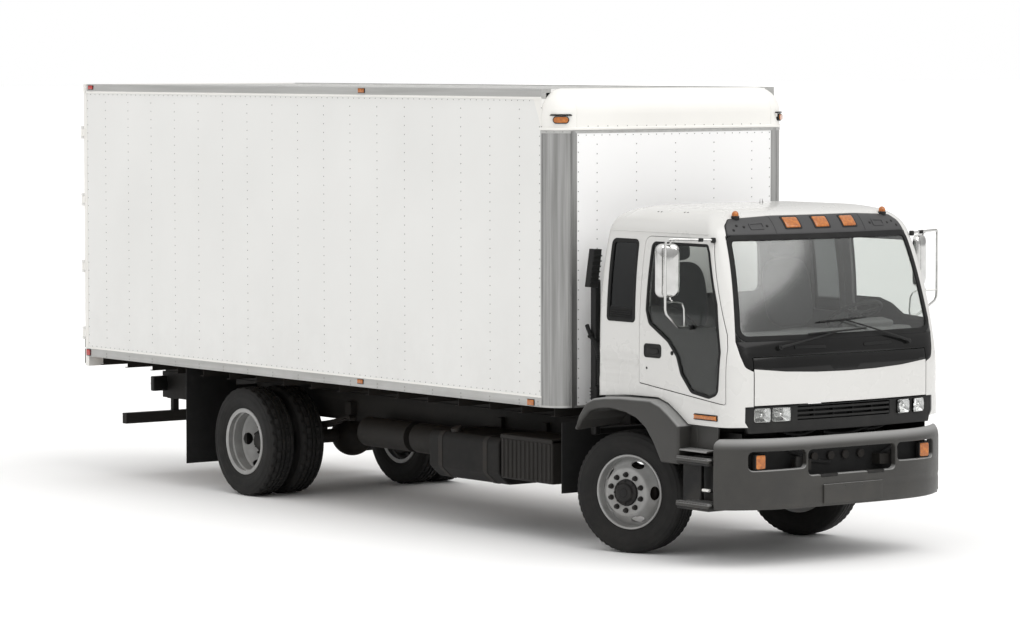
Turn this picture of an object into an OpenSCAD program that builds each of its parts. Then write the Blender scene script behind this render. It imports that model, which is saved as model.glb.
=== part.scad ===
// Medium-duty cab-over box truck. +Z up, forward is -Y, the truck's left is +X.
// Inside the modules Y counts from the datum line 90 mm ahead of the front axle;
// put() moves it to the middle of the overall length. All lengths in millimetres.

/* [Wheels] */
// Outer radius of every tyre
tyre_r = 488; // [480:1:495]
// Section width of a tyre
tyre_w = 254; // [244:1:258]
// Radius over the rim flange
rim_r = 298.5; // [295:0.5:300]
// Width over the rim flanges
rim_w = 216; // [206:1:220]
// Distance from the front axle to the rear axle
wheelbase = 5330; // [5200:10:5450]
// Distance from the vehicle's centre to a kingpin
kingpin_x = 775; // [770:1:785]
// Distance from a kingpin to the middle of its tyre
wheel_off = 160; // [158:1:166]
// Steering angle in the stored pose, positive to the left
steer_rest = 20.6; // [0:0.1:25]
// Distance from the centre to the middle of the outer rear tyre
rear_outer_x = 1012; // [1000:1:1020]
// Distance between the middles of the twin tyres
dual_gap = 324; // [318:1:330]

/* [Chassis] */
// Outer half width over the frame rails
rail_x = 430; // [425:1:435]
// Underside of the frame rails
rail_z = 690; // [680:1:700]
// Height of a frame rail
rail_h = 250; // [240:1:250]
// Flange width of a frame rail
rail_f = 75; // [60:1:80]

/* [Bumper] */
// Front face of the bumper at the middle
bumper_y = -1510; // [-1515:1:-1505]
// Underside of the bumper
bumper_z = 450; // [440:1:470]
// Height of the bumper
bumper_h = 560; // [540:1:565]
// Shell depth of the bumper
bumper_t = 58; // [50:1:60]

/* [Cab] */
// Height of the cab tilt pivot
tilt_z = 1080; // [1075:1:1085]
// Fore-and-aft place of the cab tilt pivot
tilt_y = -1305; // [-1308:1:-1302]
// Radius of the tilt pins
tilt_r = 20; // [18:1:22]
// Thickness of a cab door or wall
wall_t = 52; // [45:1:56]
// Shut line between cab, doors and lid
shut = 6; // [5:0.5:8]
// Rear edge of the cab doors
door_y1 = -225; // [-230:1:-220]
// Front edge of the cab doors
door_y0 = -1262; // [-1264:1:-1250]
// Half width to a door hinge line
hinge_x = 1097; // [1095:1:1099]

/* [Body] */
// Overall width of the load body
body_w = 2438; // [2420:1:2440]
// Length of the load body
body_l = 7315; // [7200:5:7320]
// Front face of the load body
body_y = 678; // [670:1:690]
// Underside of the body side rails
body_z = 1111; // [1105:1:1115]
// Top of the body
body_top = 3674; // [3650:1:3680]
// Radius of the front corner posts and of the nose
nose_r = 200; // [190:1:205]
// Thickness of a body wall
side_t = 45; // [40:1:50]
// Height of the bottom side rail
rail_low = 90; // [80:1:95]
// Height of the top side rail
rail_top = 82; // [75:1:90]
// Height of the seam under the nose panel
seam_z = 3336; // [3320:1:3345]
// Thickness of a rear door
rdoor_t = 40; // [35:1:45]

/* [Hidden] */
$fn = 64;
axle_y = 90;
front_ext = -1522;
rear_ext = 8028;
oy = (front_ext + rear_ext) / 2;
hw = body_w / 2;
body_y1 = body_y + body_l;
rear_y = axle_y + wheelbase;
post_y = body_y + nose_r;

// ---------- helpers ----------
module put() { translate([0, -oy, 0]) children(); }
// copies on both sides of the centre plane
module both() { children(); mirror([1, 0, 0]) children(); }
// box from its lowest and highest corners
module bx(a, b) { translate(a) cube(b - a); }
// cylinder along X, starting at p
module cx(p, r, l) { translate(p) rotate([0, 90, 0]) cylinder(r = r, h = l); }
// cylinder along Y, starting at p
module cy(p, r, l) { translate(p) rotate([-90, 0, 0]) cylinder(r = r, h = l); }
// a (y, z) outline extruded along X from x0 to x1
module side_plate(x0, x1, pts) {
  translate([x0, 0, 0]) rotate([90, 0, 90]) linear_extrude(height = x1 - x0) polygon(pts);
}
// an (x, z) outline extruded along Y from y0 to y1
module front_plate(y0, y1, pts) {
  translate([0, y1, 0]) rotate([90, 0, 0]) linear_extrude(height = y1 - y0) polygon(pts);
}
// a (radius, axial) outline spun about the X axis
module spin_x() { rotate([0, 90, 0]) rotate_extrude() children(); }
// round bar between two points
module bar(a, b, r) {
  d = b - a; l = norm(d);
  translate(a) rotate([0, acos(d[2] / l), atan2(d[1], d[0])]) cylinder(r = r, h = l);
}

// ---------- wheels ----------
// tyre section: columns are radius, distance from the tyre's middle plane
tyre_half = [[287, 94], [304, 98], [330, 112], [372, tyre_w/2], [400, tyre_w/2],
             [446, 121], [470, 111], [481, 100], [tyre_r - 2, 70]];
function mirror_list(t) = [for (i = [len(t)-1:-1:0]) [t[i][0], -t[i][1]]];
module tyre() {
  spin_x() polygon(concat(tyre_half, [[tyre_r, 0]], mirror_list(tyre_half)));
}
// rim barrel with its two flanges, middle plane at x = 0
module rim() {
  w = rim_w / 2;
  spin_x() polygon([[262, -w+4], [rim_r-3, -w], [rim_r, -w+5], [rim_r, -w+11], [286, -w+14],
    [284, -60], [272, -48], [272, 48], [284, 60], [286, w-14], [rim_r, w-11],
    [rim_r, w-5], [rim_r-3, w], [262, w-4], [274, 52], [262, 44], [262, -44], [274, -52]]);
}
// dished disc; the hub face is at +150 from the rim's middle, on the side of +X
module disc() {
  difference() {
    spin_x() polygon([[110, 136], [172, 136], [186, 122], [228, 78], [244, 42], [262.5, 40],
      [262.5, 52], [252, 54], [236, 86], [194, 132], [176, 150], [110, 150]]);
    for (i = [0:4]) rotate([i * 72 + 18, 0, 0]) cx([60, 0, 214], 27, 100);
  }
}
module hub(x0, x1, r) { cx([x0, 0, 0], r, x1 - x0); }
// front wheel about its spin axis, middle plane at x = 0, outside towards +X
module wheel_front() {
  rim(); disc();
  difference() {
    union() {
      hub(-88, 30, 205); hub(29, 166, 109); hub(165, 188, 62);
    }
    hub(-89, 120, 36.05);
    translate([-89, 0, 0]) spin_x() polygon([[60, -1], [188, -1], [188, 90], [60, 90]]);
  }
}
// rear wheel pair about the spin axis; middle plane of the outer wheel at x = 0
module wheels_rear() {
  mirror([1, 0, 0]) { rim(); disc(); }
  translate([-dual_gap, 0, 0]) { rim(); disc(); }
  difference() {
    union() {
      hub(-430, -300, 205); hub(-301, -100, 109.9); hub(-101, -62, 92); hub(-63, -40, 70);
    }
    hub(-431, -120, 46.05);
    translate([-431, 0, 0]) spin_x() polygon([[64, -1], [188, -1], [188, 110], [64, 110]]);
  }
}
// place of a front wheel: s = 1 is the truck's left
module at_kingpin(s) {
  translate([s * kingpin_x, axle_y, tyre_r]) rotate([0, 0, steer_rest]) children();
}
module at_front(s) {
  at_kingpin(s) translate([s * wheel_off, 0, 0]) rotate([0, 0, s > 0 ? 0 : 180]) children();
}
module at_rear(s) {
  translate([s * rear_outer_x, rear_y, tyre_r]) rotate([0, 0, s > 0 ? 0 : 180]) children();
}
module tyre_front_left() { color([0.03, 0.03, 0.03]) put() at_front(1) tyre(); }
module tyre_front_right() { color([0.03, 0.03, 0.03]) put() at_front(-1) tyre(); }
module wheel_front_left() { color([0.62, 0.63, 0.64]) put() at_front(1) wheel_front(); }
module wheel_front_right() { color([0.62, 0.63, 0.64]) put() at_front(-1) wheel_front(); }
module tyres_rear(s) { at_rear(s) { tyre(); translate([-dual_gap, 0, 0]) tyre(); } }
module tyres_rear_left() { color([0.03, 0.03, 0.03]) put() tyres_rear(1); }
module tyres_rear_right() { color([0.03, 0.03, 0.03]) put() tyres_rear(-1); }
module wheels_rear_left() { color([0.62, 0.63, 0.64]) put() at_rear(1) wheels_rear(); }
module wheels_rear_right() { color([0.62, 0.63, 0.64]) put() at_rear(-1) wheels_rear(); }

// knuckle: boss on the kingpin, spindle, and a straight arm to the rear for the tie rod
arm_l = 210;
eye_z = -92;
module knuckle(s) {
  at_kingpin(s) difference() {
    union() {
      for (z = [-84, 46]) translate([0, 0, z]) cylinder(r = 44.5, h = 38);
      bx([s > 0 ? 35.5 : -62, -44, -84], [s > 0 ? 62 : -35.5, 44, 84]);
      cx([s > 0 ? 60 : -270, 0, 0], 36, 210);
      bx([-16, 30, eye_z + 8], [16, arm_l, eye_z + 32]);
      translate([0, arm_l, eye_z + 8]) cylinder(r = 26, h = 24);
    }
    translate([0, 0, -120]) cylinder(r = 22.05, h = 240);
    translate([0, arm_l, eye_z - 40]) cylinder(r = 11.05, h = 120);
  }
}
module knuckle_left() { color([0.08, 0.08, 0.08]) put() knuckle(1); }
module knuckle_right() { color([0.08, 0.08, 0.08]) put() knuckle(-1); }
// tie rod: solid pin in the left arm; the right end is an open fork short of its eye
module tie_rod() {
  ex = -arm_l * sin(steer_rest); ey = arm_l * cos(steer_rest);
  color([0.1, 0.1, 0.1]) put() translate([ex, axle_y + ey, tyre_r + eye_z]) {
    translate([kingpin_x, 0, -22]) cylinder(r = 11, h = 60);
    translate([kingpin_x, 0, -26]) cylinder(r = 24, h = 26);
    cx([-kingpin_x, 0, -13], 11.5, 2 * kingpin_x);
    translate([-kingpin_x, 0, -26]) cylinder(r = 24, h = 26);
    translate([-kingpin_x, 0, -22]) cylinder(r = 8, h = 60);
  }
}

// ---------- chassis ----------
// cross members: columns are y, bottom z, height, depth along y
crosses = [[-1290, 700, 150, 60], [380, 864, 60, 80], [1500, 760, 120, 60],
           [2700, 760, 120, 60], [4000, 760, 120, 60], [4620, 720, 170, 70],
           [6220, 720, 170, 70], [7876, 700, 200, 14]];
tow_r = 22;
module chassis_frame() {
  r0 = -1330; r1 = 7894;
  color([0.05, 0.05, 0.05]) put() difference() {
    union() {
      both() {
        front_plate(r0, r1, [[rail_x, rail_z], [rail_x, rail_z + rail_h],
          [rail_x - rail_f, rail_z + rail_h], [rail_x - rail_f, rail_z + rail_h - 9],
          [rail_x - 9, rail_z + rail_h - 9], [rail_x - 9, rail_z + 9],
          [rail_x - rail_f, rail_z + 9], [rail_x - rail_f, rail_z]]);
        // bumper horns with the front towing eyes
        bx([rail_x - 75, -1425, 740], [rail_x + 50, -1334, 820]);
        bx([rail_x - 60, -1335, 745], [rail_x - 4, -1286, 815]);
        // cab tilt brackets and their pins
        for (x = [rail_x - 66, rail_x - 6])
          side_plate(x - 14, x, [[tilt_y + 16, 930], [tilt_y + 130, 930], [tilt_y + 60, tilt_z + 10],
            [tilt_y + 20, tilt_z + 34], [tilt_y - 20, tilt_z + 34], [tilt_y - 30, tilt_z + 14],
            [tilt_y - 30, tilt_z - 16], [tilt_y + 2, tilt_z - 42]]);
        cx([rail_x - 84, tilt_y, tilt_z], tilt_r, 82);
        bx([rail_x - 82, tilt_y - 20, 925], [rail_x - 2, tilt_y + 132, 945]);
        // rear cab support
        bx([rail_x - 75, 150, 930], [rail_x - 15, 230, 1150]);
        // kingpin-side spring hangers, front: in front of and behind the axle
        for (y = [-600, 760]) bx([rail_x - 66, y - 40, 646], [rail_x - 16, y + 40, rail_z + 1]);
        // rear spring hangers on the outer web
        for (y = [rear_y - 740, rear_y + 740]) bx([rail_x - 1, y - 45, 748.7], [rail_x + 70, y + 45, 860]);
      }
      bx([-(rail_x - 15), 150, 1090], [rail_x - 15, 230, 1150]);
      for (c = crosses) bx([-(rail_x - 8), c[0], c[1]], [rail_x - 8, c[0] + c[3], c[1] + c[2]]);
    }
    // towing eyes through the bumper horns
    both() translate([402, -1380, 700]) cylinder(r = tow_r, h = 160);
    // holes for a tow hitch in the rear cross member
    for (x = [-45, 45], z = [755, 845]) cy([x, 7860, z], 11, 60);
  }
}
module front_axle() {
  a = kingpin_x;
  color([0.07, 0.07, 0.07]) put() translate([0, axle_y, 0]) {
    front_plate(-45, 45, [[-a + 10, tyre_r - 34], [-a + 10, tyre_r + 34], [-a + 60, tyre_r + 34],
      [-a + 190, 468], [-430, 458.5], [430, 458.5], [a - 190, 468], [a - 60, tyre_r + 34],
      [a - 10, tyre_r + 34], [a - 10, tyre_r - 34], [a - 70, tyre_r - 40], [a - 210, 388],
      [330, 368], [-330, 368], [-a + 210, 388], [-a + 70, tyre_r - 40]]);
    both() translate([a, 0, tyre_r]) {
      translate([0, 0, -40]) cylinder(r = 34, h = 80);
      translate([0, 0, -96]) cylinder(r = 22, h = 192);
    }
  }
}
// leaf spring: a stack of arcs; columns are half length, height above the seat
module leaf(x, y, z, w, rad, leaves, t) {
  for (l = leaves) intersection() {
    translate([x - w/2, y, z + rad]) rotate([0, 90, 0]) difference() {
      cylinder(r = rad - l[1], h = w, $fn = 360);
      translate([0, 0, -1]) cylinder(r = rad - l[1] - t, h = w + 2, $fn = 360);
    }
    bx([x - w, y - l[0], z - 60], [x + w, y + l[0], z + 260]);
  }
}
front_leaves = [[690, 60], [610, 45], [500, 30], [380, 15], [250, 0]];
rear_leaves = [[740, 75], [670, 60], [560, 45], [440, 30], [320, 15], [200, 0]];
module leaf_springs() {
  color([0.06, 0.06, 0.06]) put() both() {
    leaf(rail_x - 41, axle_y, 459, 66, 2300, front_leaves, 15.2);
    for (y = [-600, 780]) cx([rail_x - 74, y, 612], 26, 66);
    leaf(rail_x + 35, rear_y, 551, 66, 2700, rear_leaves, 15.2);
    for (y = [rear_y - 740, rear_y + 740]) cx([rail_x + 2, y, 716], 0.1 + 26, 66);
  }
}
module rear_axle() {
  color([0.06, 0.06, 0.06]) put() translate([0, rear_y, 0]) {
    cx([-570, 0, tyre_r], 62, 1140);
    both() { cx([569, 0, tyre_r], 46, 316); cx([540, 0, tyre_r], 90, 34);
      bx([rail_x + 2, -80, 505], [rail_x + 68, 80, 551]); }
    translate([60, 0, tyre_r]) rotate([0, 90, 0]) sphere(r = 195);
    cy([60, -330, tyre_r + 10], 75, 320);
  }
}
module driveshaft() {
  color([0.08, 0.08, 0.08]) put() {
    y1 = rear_y - 335;
    bar([0, 642, 700], [0, 2641, 680], 50);
    bx([-60, 2640, 640], [60, 2699.5, 800]);
    bar([0, 2762, 680], [60, y1, 500], 50);
  }
}
module engine_block() { color([0.25, 0.25, 0.26]) put() {
    bx([-310, -960, 560], [310, 60, 1150]);
    bx([-190, 60, 580], [190, 640, 860]);
  } }
module radiator() { color([0.06, 0.06, 0.06]) put() {
    bx([-335, -1190, 560], [335, -1110, 1070]);
    bx([-300, -1111, 600], [300, -1060, 1030]);
  } }
module fuel_tank() {
  color([0.05, 0.05, 0.05]) put() {
    // rounded rectangle section, lower edges cut away
    front_plate(1640, 2620, [[-1090, 500], [-1090, 760], [-1060, 800], [-500, 800], [-470, 770],
      [-470, 470], [-560, 400], [-980, 400]]);
    for (y = [1800, 2430]) bx([-471, y, 560], [-rail_x, y + 60, 880]);
  }
}
module battery_box() {
  color([0.06, 0.06, 0.06]) put() {
    bx([-1100, 905, 470], [-700, 1610, 840]);
    for (y = [1000, 1450]) bx([-701, y, 600], [-rail_x, y + 50, 800]);
  }
}
module air_cleaner() {
  color([0.05, 0.05, 0.05]) put() {
    // canister on the left rail and its intake trunk behind the cab on the right
    cy([650, 1150, 700], 190, 560);
    for (y = [1250, 1580]) bx([rail_x, y, 640], [480, y + 40, 780]);
    bx([-1000, 510, 1180], [-920, 590, 2100]);
    bx([-1085, 400, 2080], [-905, 560, 2400]);
    bx([-960, 520, 900], [-rail_x, 580, 960]);
    bx([-1000, 510, 900], [-920, 590, 1181]);
  }
}
module exhaust_muffler() {
  color([0.3, 0.29, 0.28]) put() {
    cy([690, 2500, 640], 150, 1200);
    cy([690, 3699, 640], 45, 700);
    cy([690, 2200, 640], 45, 301);
    for (y = [2700, 3400]) bx([rail_x, y, 620], [550, y + 40, 660]);
  }
}
module air_tanks() {
  // two in line on the right rail: columns are start y, length
  color([0.05, 0.05, 0.05]) put() for (t = [[2760, 660], [3500, 700]]) {
    cy([-600, t[0], 640], 130, t[1]);
    for (y = [t[0] + 90, t[0] + t[1] - 130]) bx([-480, y, 610], [-rail_x, y + 40, 670]);
  }
}
// bumper outline in plan: columns are x, y
bumper_half = [[0, bumper_y], [350, bumper_y + 2], [540, bumper_y + 12], [700, bumper_y + 36],
               [860, bumper_y + 82], [1000, bumper_y + 152], [1095, bumper_y + 226],
               [1148, bumper_y + 288], [1168, bumper_y + 345]];
function flip_x(t) = [for (i = [len(t)-1:-1:1]) [-t[i][0], t[i][1]]];
function inner_of(t, d) = [for (p = t) [p[0] > 0 ? max(0, p[0] - d * p[0] / 1168) : 0, p[1] + d]];
plate_dx = 89;
module front_bumper() {
  o = bumper_half; n = inner_of(bumper_half, bumper_t);
  color([0.22, 0.22, 0.22]) put() difference() {
    union() {
      translate([0, 0, bumper_z]) linear_extrude(height = bumper_h)
        polygon(concat(flip_x(o), o, [for (i = [len(n)-1:-1:0]) n[i]],
                       [for (i = [1:len(n)-1]) [-n[i][0], n[i][1]]]));
      both() bx([458, bumper_y + bumper_t - 6, 705], [527, -1425.2, 855]);
      // plate holder
      bx([-150, bumper_y - 12, 455], [150, bumper_y + 4, 635]);
    }
    bx([-455, -1600, 700], [455, -1440, 915]);
    both() bx([530, -1600, 700], [930, -1300, 900]);
    for (x = [-plate_dx, plate_dx]) cy([x, -1560, 600], 3.5, 160);
  }
}
// fender outlines: columns are y, z
arch_out = [[500, 955], [440, 1075], [330, 1190], [240, 1225], [100, 1245], [-100, 1258],
            [-480, 1262], [-600, 1228], [-700, 1172], [-838, 1080], [-812, 780]];
arch_in = [[-590, 780], [-500, 935], [-420, 1035], [-300, 1105], [-160, 1140], [20, 1158],
           [160, 1150], [290, 1120], [400, 1035], [468, 955]];
module fenders() {
  color([0.3, 0.3, 0.3]) put() both() {
    difference() {
      side_plate(-1202, -760, concat(arch_out, arch_in));
      side_plate(-1150, -770, [[-638, 700], [-560, 930], [-470, 1050], [-330, 1130], [-160, 1170],
        [60, 1190], [200, 1180], [300, 1150], [400, 1060], [440, 990], [300, 700]]);
    }
    // step well between the front leg and the bumper
    bx([-1160, -1098, 900], [-1000, -800, 915]);
    side_plate(-1020, -1000, [[-815, 892], [-830, 1075], [-1098, 1075], [-1098, 892]]);
    bx([-1001, -860, 893], [-rail_x, -820, 930]);
  }
}
// steps: columns are bottom z, height
steps = [[825, 62], [440, 62]];
module cab_steps() {
  color([0.3, 0.3, 0.3]) put() both() {
    for (s = steps) {
      bx([-1200, -1098, s[0]], [-960, -825, s[0] + s[1]]);
    }
    bx([-1000, -1090, 501], [-970, -1060, 826]);
    bx([-1000, -880, 501], [-970, -850, 826]);
    bx([-971, -1088, 700], [-rail_x, -1062, 760]);
  }
}
// flaps: columns are y, inner x, outer x, bottom z, top z
flaps = [[650, 720, 1190, 430, 1000], [rear_y + 830, 660, 1200, 230, 1100]];
module mudflaps() {
  color([0.03, 0.03, 0.03]) put() both() {
    for (f = flaps) bx([-f[2], f[0], f[3]], [-f[1], f[0] + 10, f[4]]);
    bx([-900, flaps[0][0] + 2, 860], [-rail_x, flaps[0][0] + 40, 900]);
    bx([-1190, flaps[1][0] + 5, 880], [-rail_x, flaps[1][0] + 45, 920]);
  }
}
module underride_guard() {
  color([0.05, 0.05, 0.05]) put() {
    bx([-930, 7740, 470], [930, 7810, 570]);
    both() bx([-400, 7750, 569], [-340, 7800, 700 - 12]);
    both() bx([-400, 7700, 680], [-356, 7860, 689.5]);
  }
}
// marker lamps: columns are x, y, z, size along x, y, z
lamps = [[-hw - 15, 3360, body_top - 48, 9.9, 90, 34], [-hw - 15, 3395, body_z + 30, 9.9, 80, 34],
  [-hw - 15, 898, body_z + 45, 9.9, 80, 34], [-hw - 15, body_y1 - 200, body_top - 50, 9.9, 80, 34],
  [-hw - 15, body_y1 - 190, body_z + 30, 9.9, 80, 34]];
module marker_lamps() {
  color([0.8, 0.35, 0.05]) put() {
    both() for (l = lamps) bx([l[0], l[1], l[2]], [l[0] + l[3], l[1] + l[4], l[2] + l[5]]);
    // turn signals in the bumper and the tail-lamp boxes
    both() bx([-900, -1408, 715], [-790, -1360, 885]);
    both() bx([-600, 7780, 760], [-440, 7850, 900]);
  }
}

// ---------- load body ----------
sill_n = 17;
module box_floor() {
  z = body_z;
  color([0.45, 0.42, 0.38]) put() {
    bx([-(hw - side_t - 2), post_y + 2, z], [hw - side_t - 2, body_y1 - 62, z + 36]);
    bx([-(hw - nose_r - 2), body_y + side_t + 2, z], [hw - nose_r - 2, post_y + 3, z + 36]);
    for (i = [0:sill_n - 1]) {
      y = body_y + 120 + i * (body_l - 330) / (sill_n - 1);
      bx([-(hw - 66), y, z - 76], [hw - 66, y + 50, z + 1]);
    }
    both() bx([rail_x - rail_f, body_y + 60, rail_z + rail_h], [rail_x - 10, body_y1 - 130, z + 1]);
  }
}
module box_side(s) {
  // from the front corner post to the rear frame, between the side rails
  x0 = s > 0 ? hw - side_t : -hw;
  bx([x0, post_y + 1, body_z + rail_low], [x0 + side_t, body_y1 - 61, body_top - rail_top]);
}
module box_side_left() { color([0.93, 0.93, 0.93]) put() box_side(1); }
module box_side_right() { color([0.93, 0.93, 0.93]) put() box_side(-1); }
module box_front_wall() {
  color([0.93, 0.93, 0.93]) put()
    bx([-(hw - nose_r - 1), body_y, body_z], [hw - nose_r - 1, body_y + side_t, seam_z]);
}
module quarter(r, t, h) {
  intersection() {
    difference() { cylinder(r = r, h = h); translate([0, 0, -1]) cylinder(r = r - t, h = h + 2); }
    translate([0, -r - 1, -1]) cube([r + 1, r + 1, h + 2]);
  }
}
module box_corner_posts() {
  color([0.7, 0.71, 0.72]) put() both()
    translate([hw - nose_r, post_y, body_z]) quarter(nose_r, side_t, seam_z - body_z);
}
module box_nose() {
  r = nose_r; zc = body_top - r; x = hw - r; gap = 1;
  color([0.93, 0.93, 0.93]) put() {
    // middle panel: an upright strip, then a quarter round up to the roof
    bx([-x, body_y, seam_z + gap], [x, body_y + side_t, zc + 0.01]);
    translate([-x, post_y, zc]) rotate([90, 0, 90]) intersection() {
      difference() { cylinder(r = r, h = 2 * x); translate([0, 0, -1]) cylinder(r = r - side_t, h = 2 * x + 2); }
      translate([-r - 1, 0, -1]) cube([r + 1, r + 1, 2 * x + 2]);
    }
    // moulded corners: a quarter post below an eighth of a sphere
    both() {
      translate([x, post_y, seam_z + gap]) quarter(r, side_t, zc - seam_z - gap + 0.01);
      translate([x, post_y, zc]) intersection() {
        difference() { sphere(r = r); sphere(r = r - side_t); }
        translate([0, -r - 1, 0]) cube([r + 1, r + 1, r + 1]);
      }
    }
  }
}
module box_roof() {
  color([0.9, 0.9, 0.9]) put()
    bx([-(hw - 92), post_y + 1, body_top - 34], [hw - 92, body_y1 - 62, body_top - 6]);
}
module box_rails() {
  y0 = post_y + 1; y1 = body_y1 - 61; e = 5;
  color([0.75, 0.76, 0.77]) put() both() {
    front_plate(y0, y1, [[hw - side_t, body_top - rail_top + 1], [hw + e, body_top - rail_top + 1],
      [hw + e, body_top - 12], [hw - 6, body_top], [hw - 90, body_top], [hw - 90, body_top - 34],
      [hw - side_t, body_top - 34]]);
    front_plate(y0, y1, [[hw - side_t, body_z], [hw + e, body_z], [hw + e, body_z + rail_low - 1],
      [hw - side_t, body_z + rail_low - 1]]);
  }
}
module rear_frame() {
  y0 = body_y1 - 60; y1 = body_y1;
  color([0.85, 0.85, 0.86]) put() {
    difference() {
      bx([-hw, y0, body_z - 90], [hw, y1, body_top]);
      bx([-(hw - 66), y0 - 1, body_z + 36], [hw - 66, y1 + 1, body_top - 94]);
    }
    // hinge leaves on the posts, each with its pin
    both() for (z = rdoor_hinges) {
      bx([hw - 40, body_y1 - 1, z - 34], [hw + 4, body_y1 + 6, z + 34]);
      bx([hw + 3, body_y1 - 30, z - 34], [hw + 10, body_y1 + rpin_dy, z + 34]);
      translate([hw + rpin_dx, body_y1 + rpin_dy, z - 60]) cylinder(r = 7, h = 120);
      translate([hw + rpin_dx, body_y1 + rpin_dy, z - 34]) cylinder(r = 12, h = 68);
    }
    // rear step bumper under the sill
    bx([-620, body_y1 - 1, body_z - 88], [620, body_y1 + 30, body_z - 30]);
  }
}
rdoor_hinges = [1330, 1960, 2590, 3220];
rpin_dx = 6;
rpin_dy = 20;
module rear_door(s) {
  x0 = 4; x1 = hw - 66 - 6;
  z0 = body_z + 36 + 6; z1 = body_top - 94 - 6;
  y1 = body_y1 - 2;
  m = s > 0 ? 0 : 1;
  mirror([m, 0, 0]) difference() {
    union() {
      bx([x0, y1 - rdoor_t, z0], [x1, y1, z1]);
      for (z = rdoor_hinges) for (k = [-1, 1]) {
        zz = z + k * 47;
        bx([x1 - 240, y1 - 1, zz - 12], [x1, body_y1 + 12, zz + 12]);
        bx([x1 - 1, body_y1 + 0.6, zz - 12], [hw + rpin_dx, body_y1 + 12, zz + 12]);
        translate([hw + rpin_dx, body_y1 + rpin_dy, zz - 12]) cylinder(r = 14, h = 24);
      }
      // lock rod with its guides
      translate([x0 + 190, y1 + 17, z0 + 30]) cylinder(r = 11, h = z1 - z0 - 60);
      for (z = [z0 + 60, 1900, 2700, z1 - 90]) bx([x0 + 165, y1 - 1, z], [x0 + 215, y1 + 14, z + 40]);
    }
    for (z = rdoor_hinges) translate([hw + rpin_dx, body_y1 + rpin_dy, z - 70]) cylinder(r = 7.05, h = 140);
  }
}
module rear_door_left() { color([0.93, 0.93, 0.93]) put() rear_door(1); }
module rear_door_right() { color([0.93, 0.93, 0.93]) put() rear_door(-1); }

// ---------- cab ----------
// cab sections: columns are z, half width, rear y, y where the side ends,
// x and y where the corner meets the front, y of the front at the middle
cab_rows = [
  [1020, 1096, 296, -1190, 900, -1372, -1432],
  [1480, 1100, 300, -1190, 900, -1372, -1432],
  [1745, 1098, 300, -1165, 930, -1318, -1404],
  [2560, 1018, 270, -965, 860, -1076, -1160],
  [2660, 960, 240, -900, 780, -1010, -1090],
  [2720, 860, 170, -800, 680, -920, -990],
  [2762, 640, 20, -620, 500, -700, -760]];
function bez(a, c, b, n) = [for (i = [0:n]) let (t = i / n)
  (1-t)*(1-t)*a + 2*t*(1-t)*c + t*t*b];
// half outline from the rear corner round to the middle of the front
function half_plan(r, d) = let (w = r[1] - d, ya = r[2] - d, ys = r[3] + d * 0.4,
    xc = r[4] - d * 0.4, yc = r[5] + d, yf = r[6] + d)
  concat([[w - 40, ya], [w - 12, ya - 12], [w, ya - 40]],
    bez([w, ys], [w, yc - 12], [xc, yc], 6),
    bez([xc, yc], [xc / 2, yf], [0, yf], 4));
function whole_plan(r, d) = let (h = half_plan(r, d))
  concat(h, [for (i = [len(h)-2:-1:0]) [-h[i][0], h[i][1]]]);
module cab_solid(d) {
  n = len(cab_rows) - 1;
  hull() for (i = [0:n]) translate([0, 0, cab_rows[i][0] - (i > 3 ? d : 0) - (i == n ? 2 : 0)])
    linear_extrude(height = 2) polygon(whole_plan(cab_rows[i], d));
}
module cab_skin(d0, d1) {
  difference() { cab_solid(d0); translate([0, 0, -1]) cab_solid(d1); }
}
// outlines in side view, columns are y, z
door_line = [[door_y1, 1378], [door_y1, 2470], [door_y1 - 50, 2525], [-1000, 2525], [-1045, 2500],
             [door_y0 + 8, 1800], [door_y0, 1700], [door_y0, 1268]];
door_window = [[-318, 2478], [-985, 2478], [-1020, 2440], [-1138, 2030], [-1186, 1670],
               [-1168, 1346], [-1080, 1312], [-870, 1342], [-745, 1475], [-692, 1610],
               [-580, 1722], [-345, 1850], [-306, 1950]];
skirt_line = [[700, 1240], [400, 1240], [240, 1246], [-100, 1272], [-480, 1276], [-606, 1240],
              [-712, 1182], [-848, 1094], [-1600, 1094], [-1600, 900], [700, 900]];
quarter_window = [[185, 1852], [185, 2490], [-140, 2490], [-160, 1852]];
// outlines in front view, columns are x, z
ws_line = [[-1000, 1757], [1000, 1757], [916, 2546], [-916, 2546]];
visor_line = [[-1060, 2552], [1060, 2552], [1060, 2676], [-1060, 2676]];
// two-dimensional growth or shrinkage of an outline
module grow(pts, d) { offset(delta = d) polygon(pts); }
module side_cut(pts, d, x0, x1) {
  translate([x0, 0, 0]) rotate([90, 0, 90]) linear_extrude(height = x1 - x0) grow(pts, d);
}
module front_cut(pts, d) {
  translate([0, -900, 0]) rotate([90, 0, 0]) linear_extrude(height = 800) grow(pts, d);
}
lid_x = 885; lid_z0 = 1258; lid_z1 = 1622;
cowl_x = 952; grille_x = 930; grille_z0 = 1030; grille_z1 = 1242;
module cab_shell() {
  color([0.92, 0.92, 0.9]) put() difference() {
    cab_skin(0, wall_t);
    both() side_cut(door_line, shut / 2, 900, 1300);
    both() side_cut(quarter_window, 0, 900, 1300);
    side_cut(skirt_line, 0, -1300, 1300);
    front_cut(ws_line, 0);
    front_cut([[-cowl_x, lid_z1 + 5], [cowl_x, lid_z1 + 5], [cowl_x, 1752], [-cowl_x, 1752]], 1);
    front_cut([[-lid_x, lid_z0], [lid_x, lid_z0], [lid_x, lid_z1], [-lid_x, lid_z1]], shut);
    front_cut([[-grille_x, 900], [grille_x, 900], [grille_x, grille_z1], [-grille_x, grille_z1]], 1);
    front_cut(visor_line, 1);
    bx([-560, 100, 2020], [560, 400, 2440]);
  }
}
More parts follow.
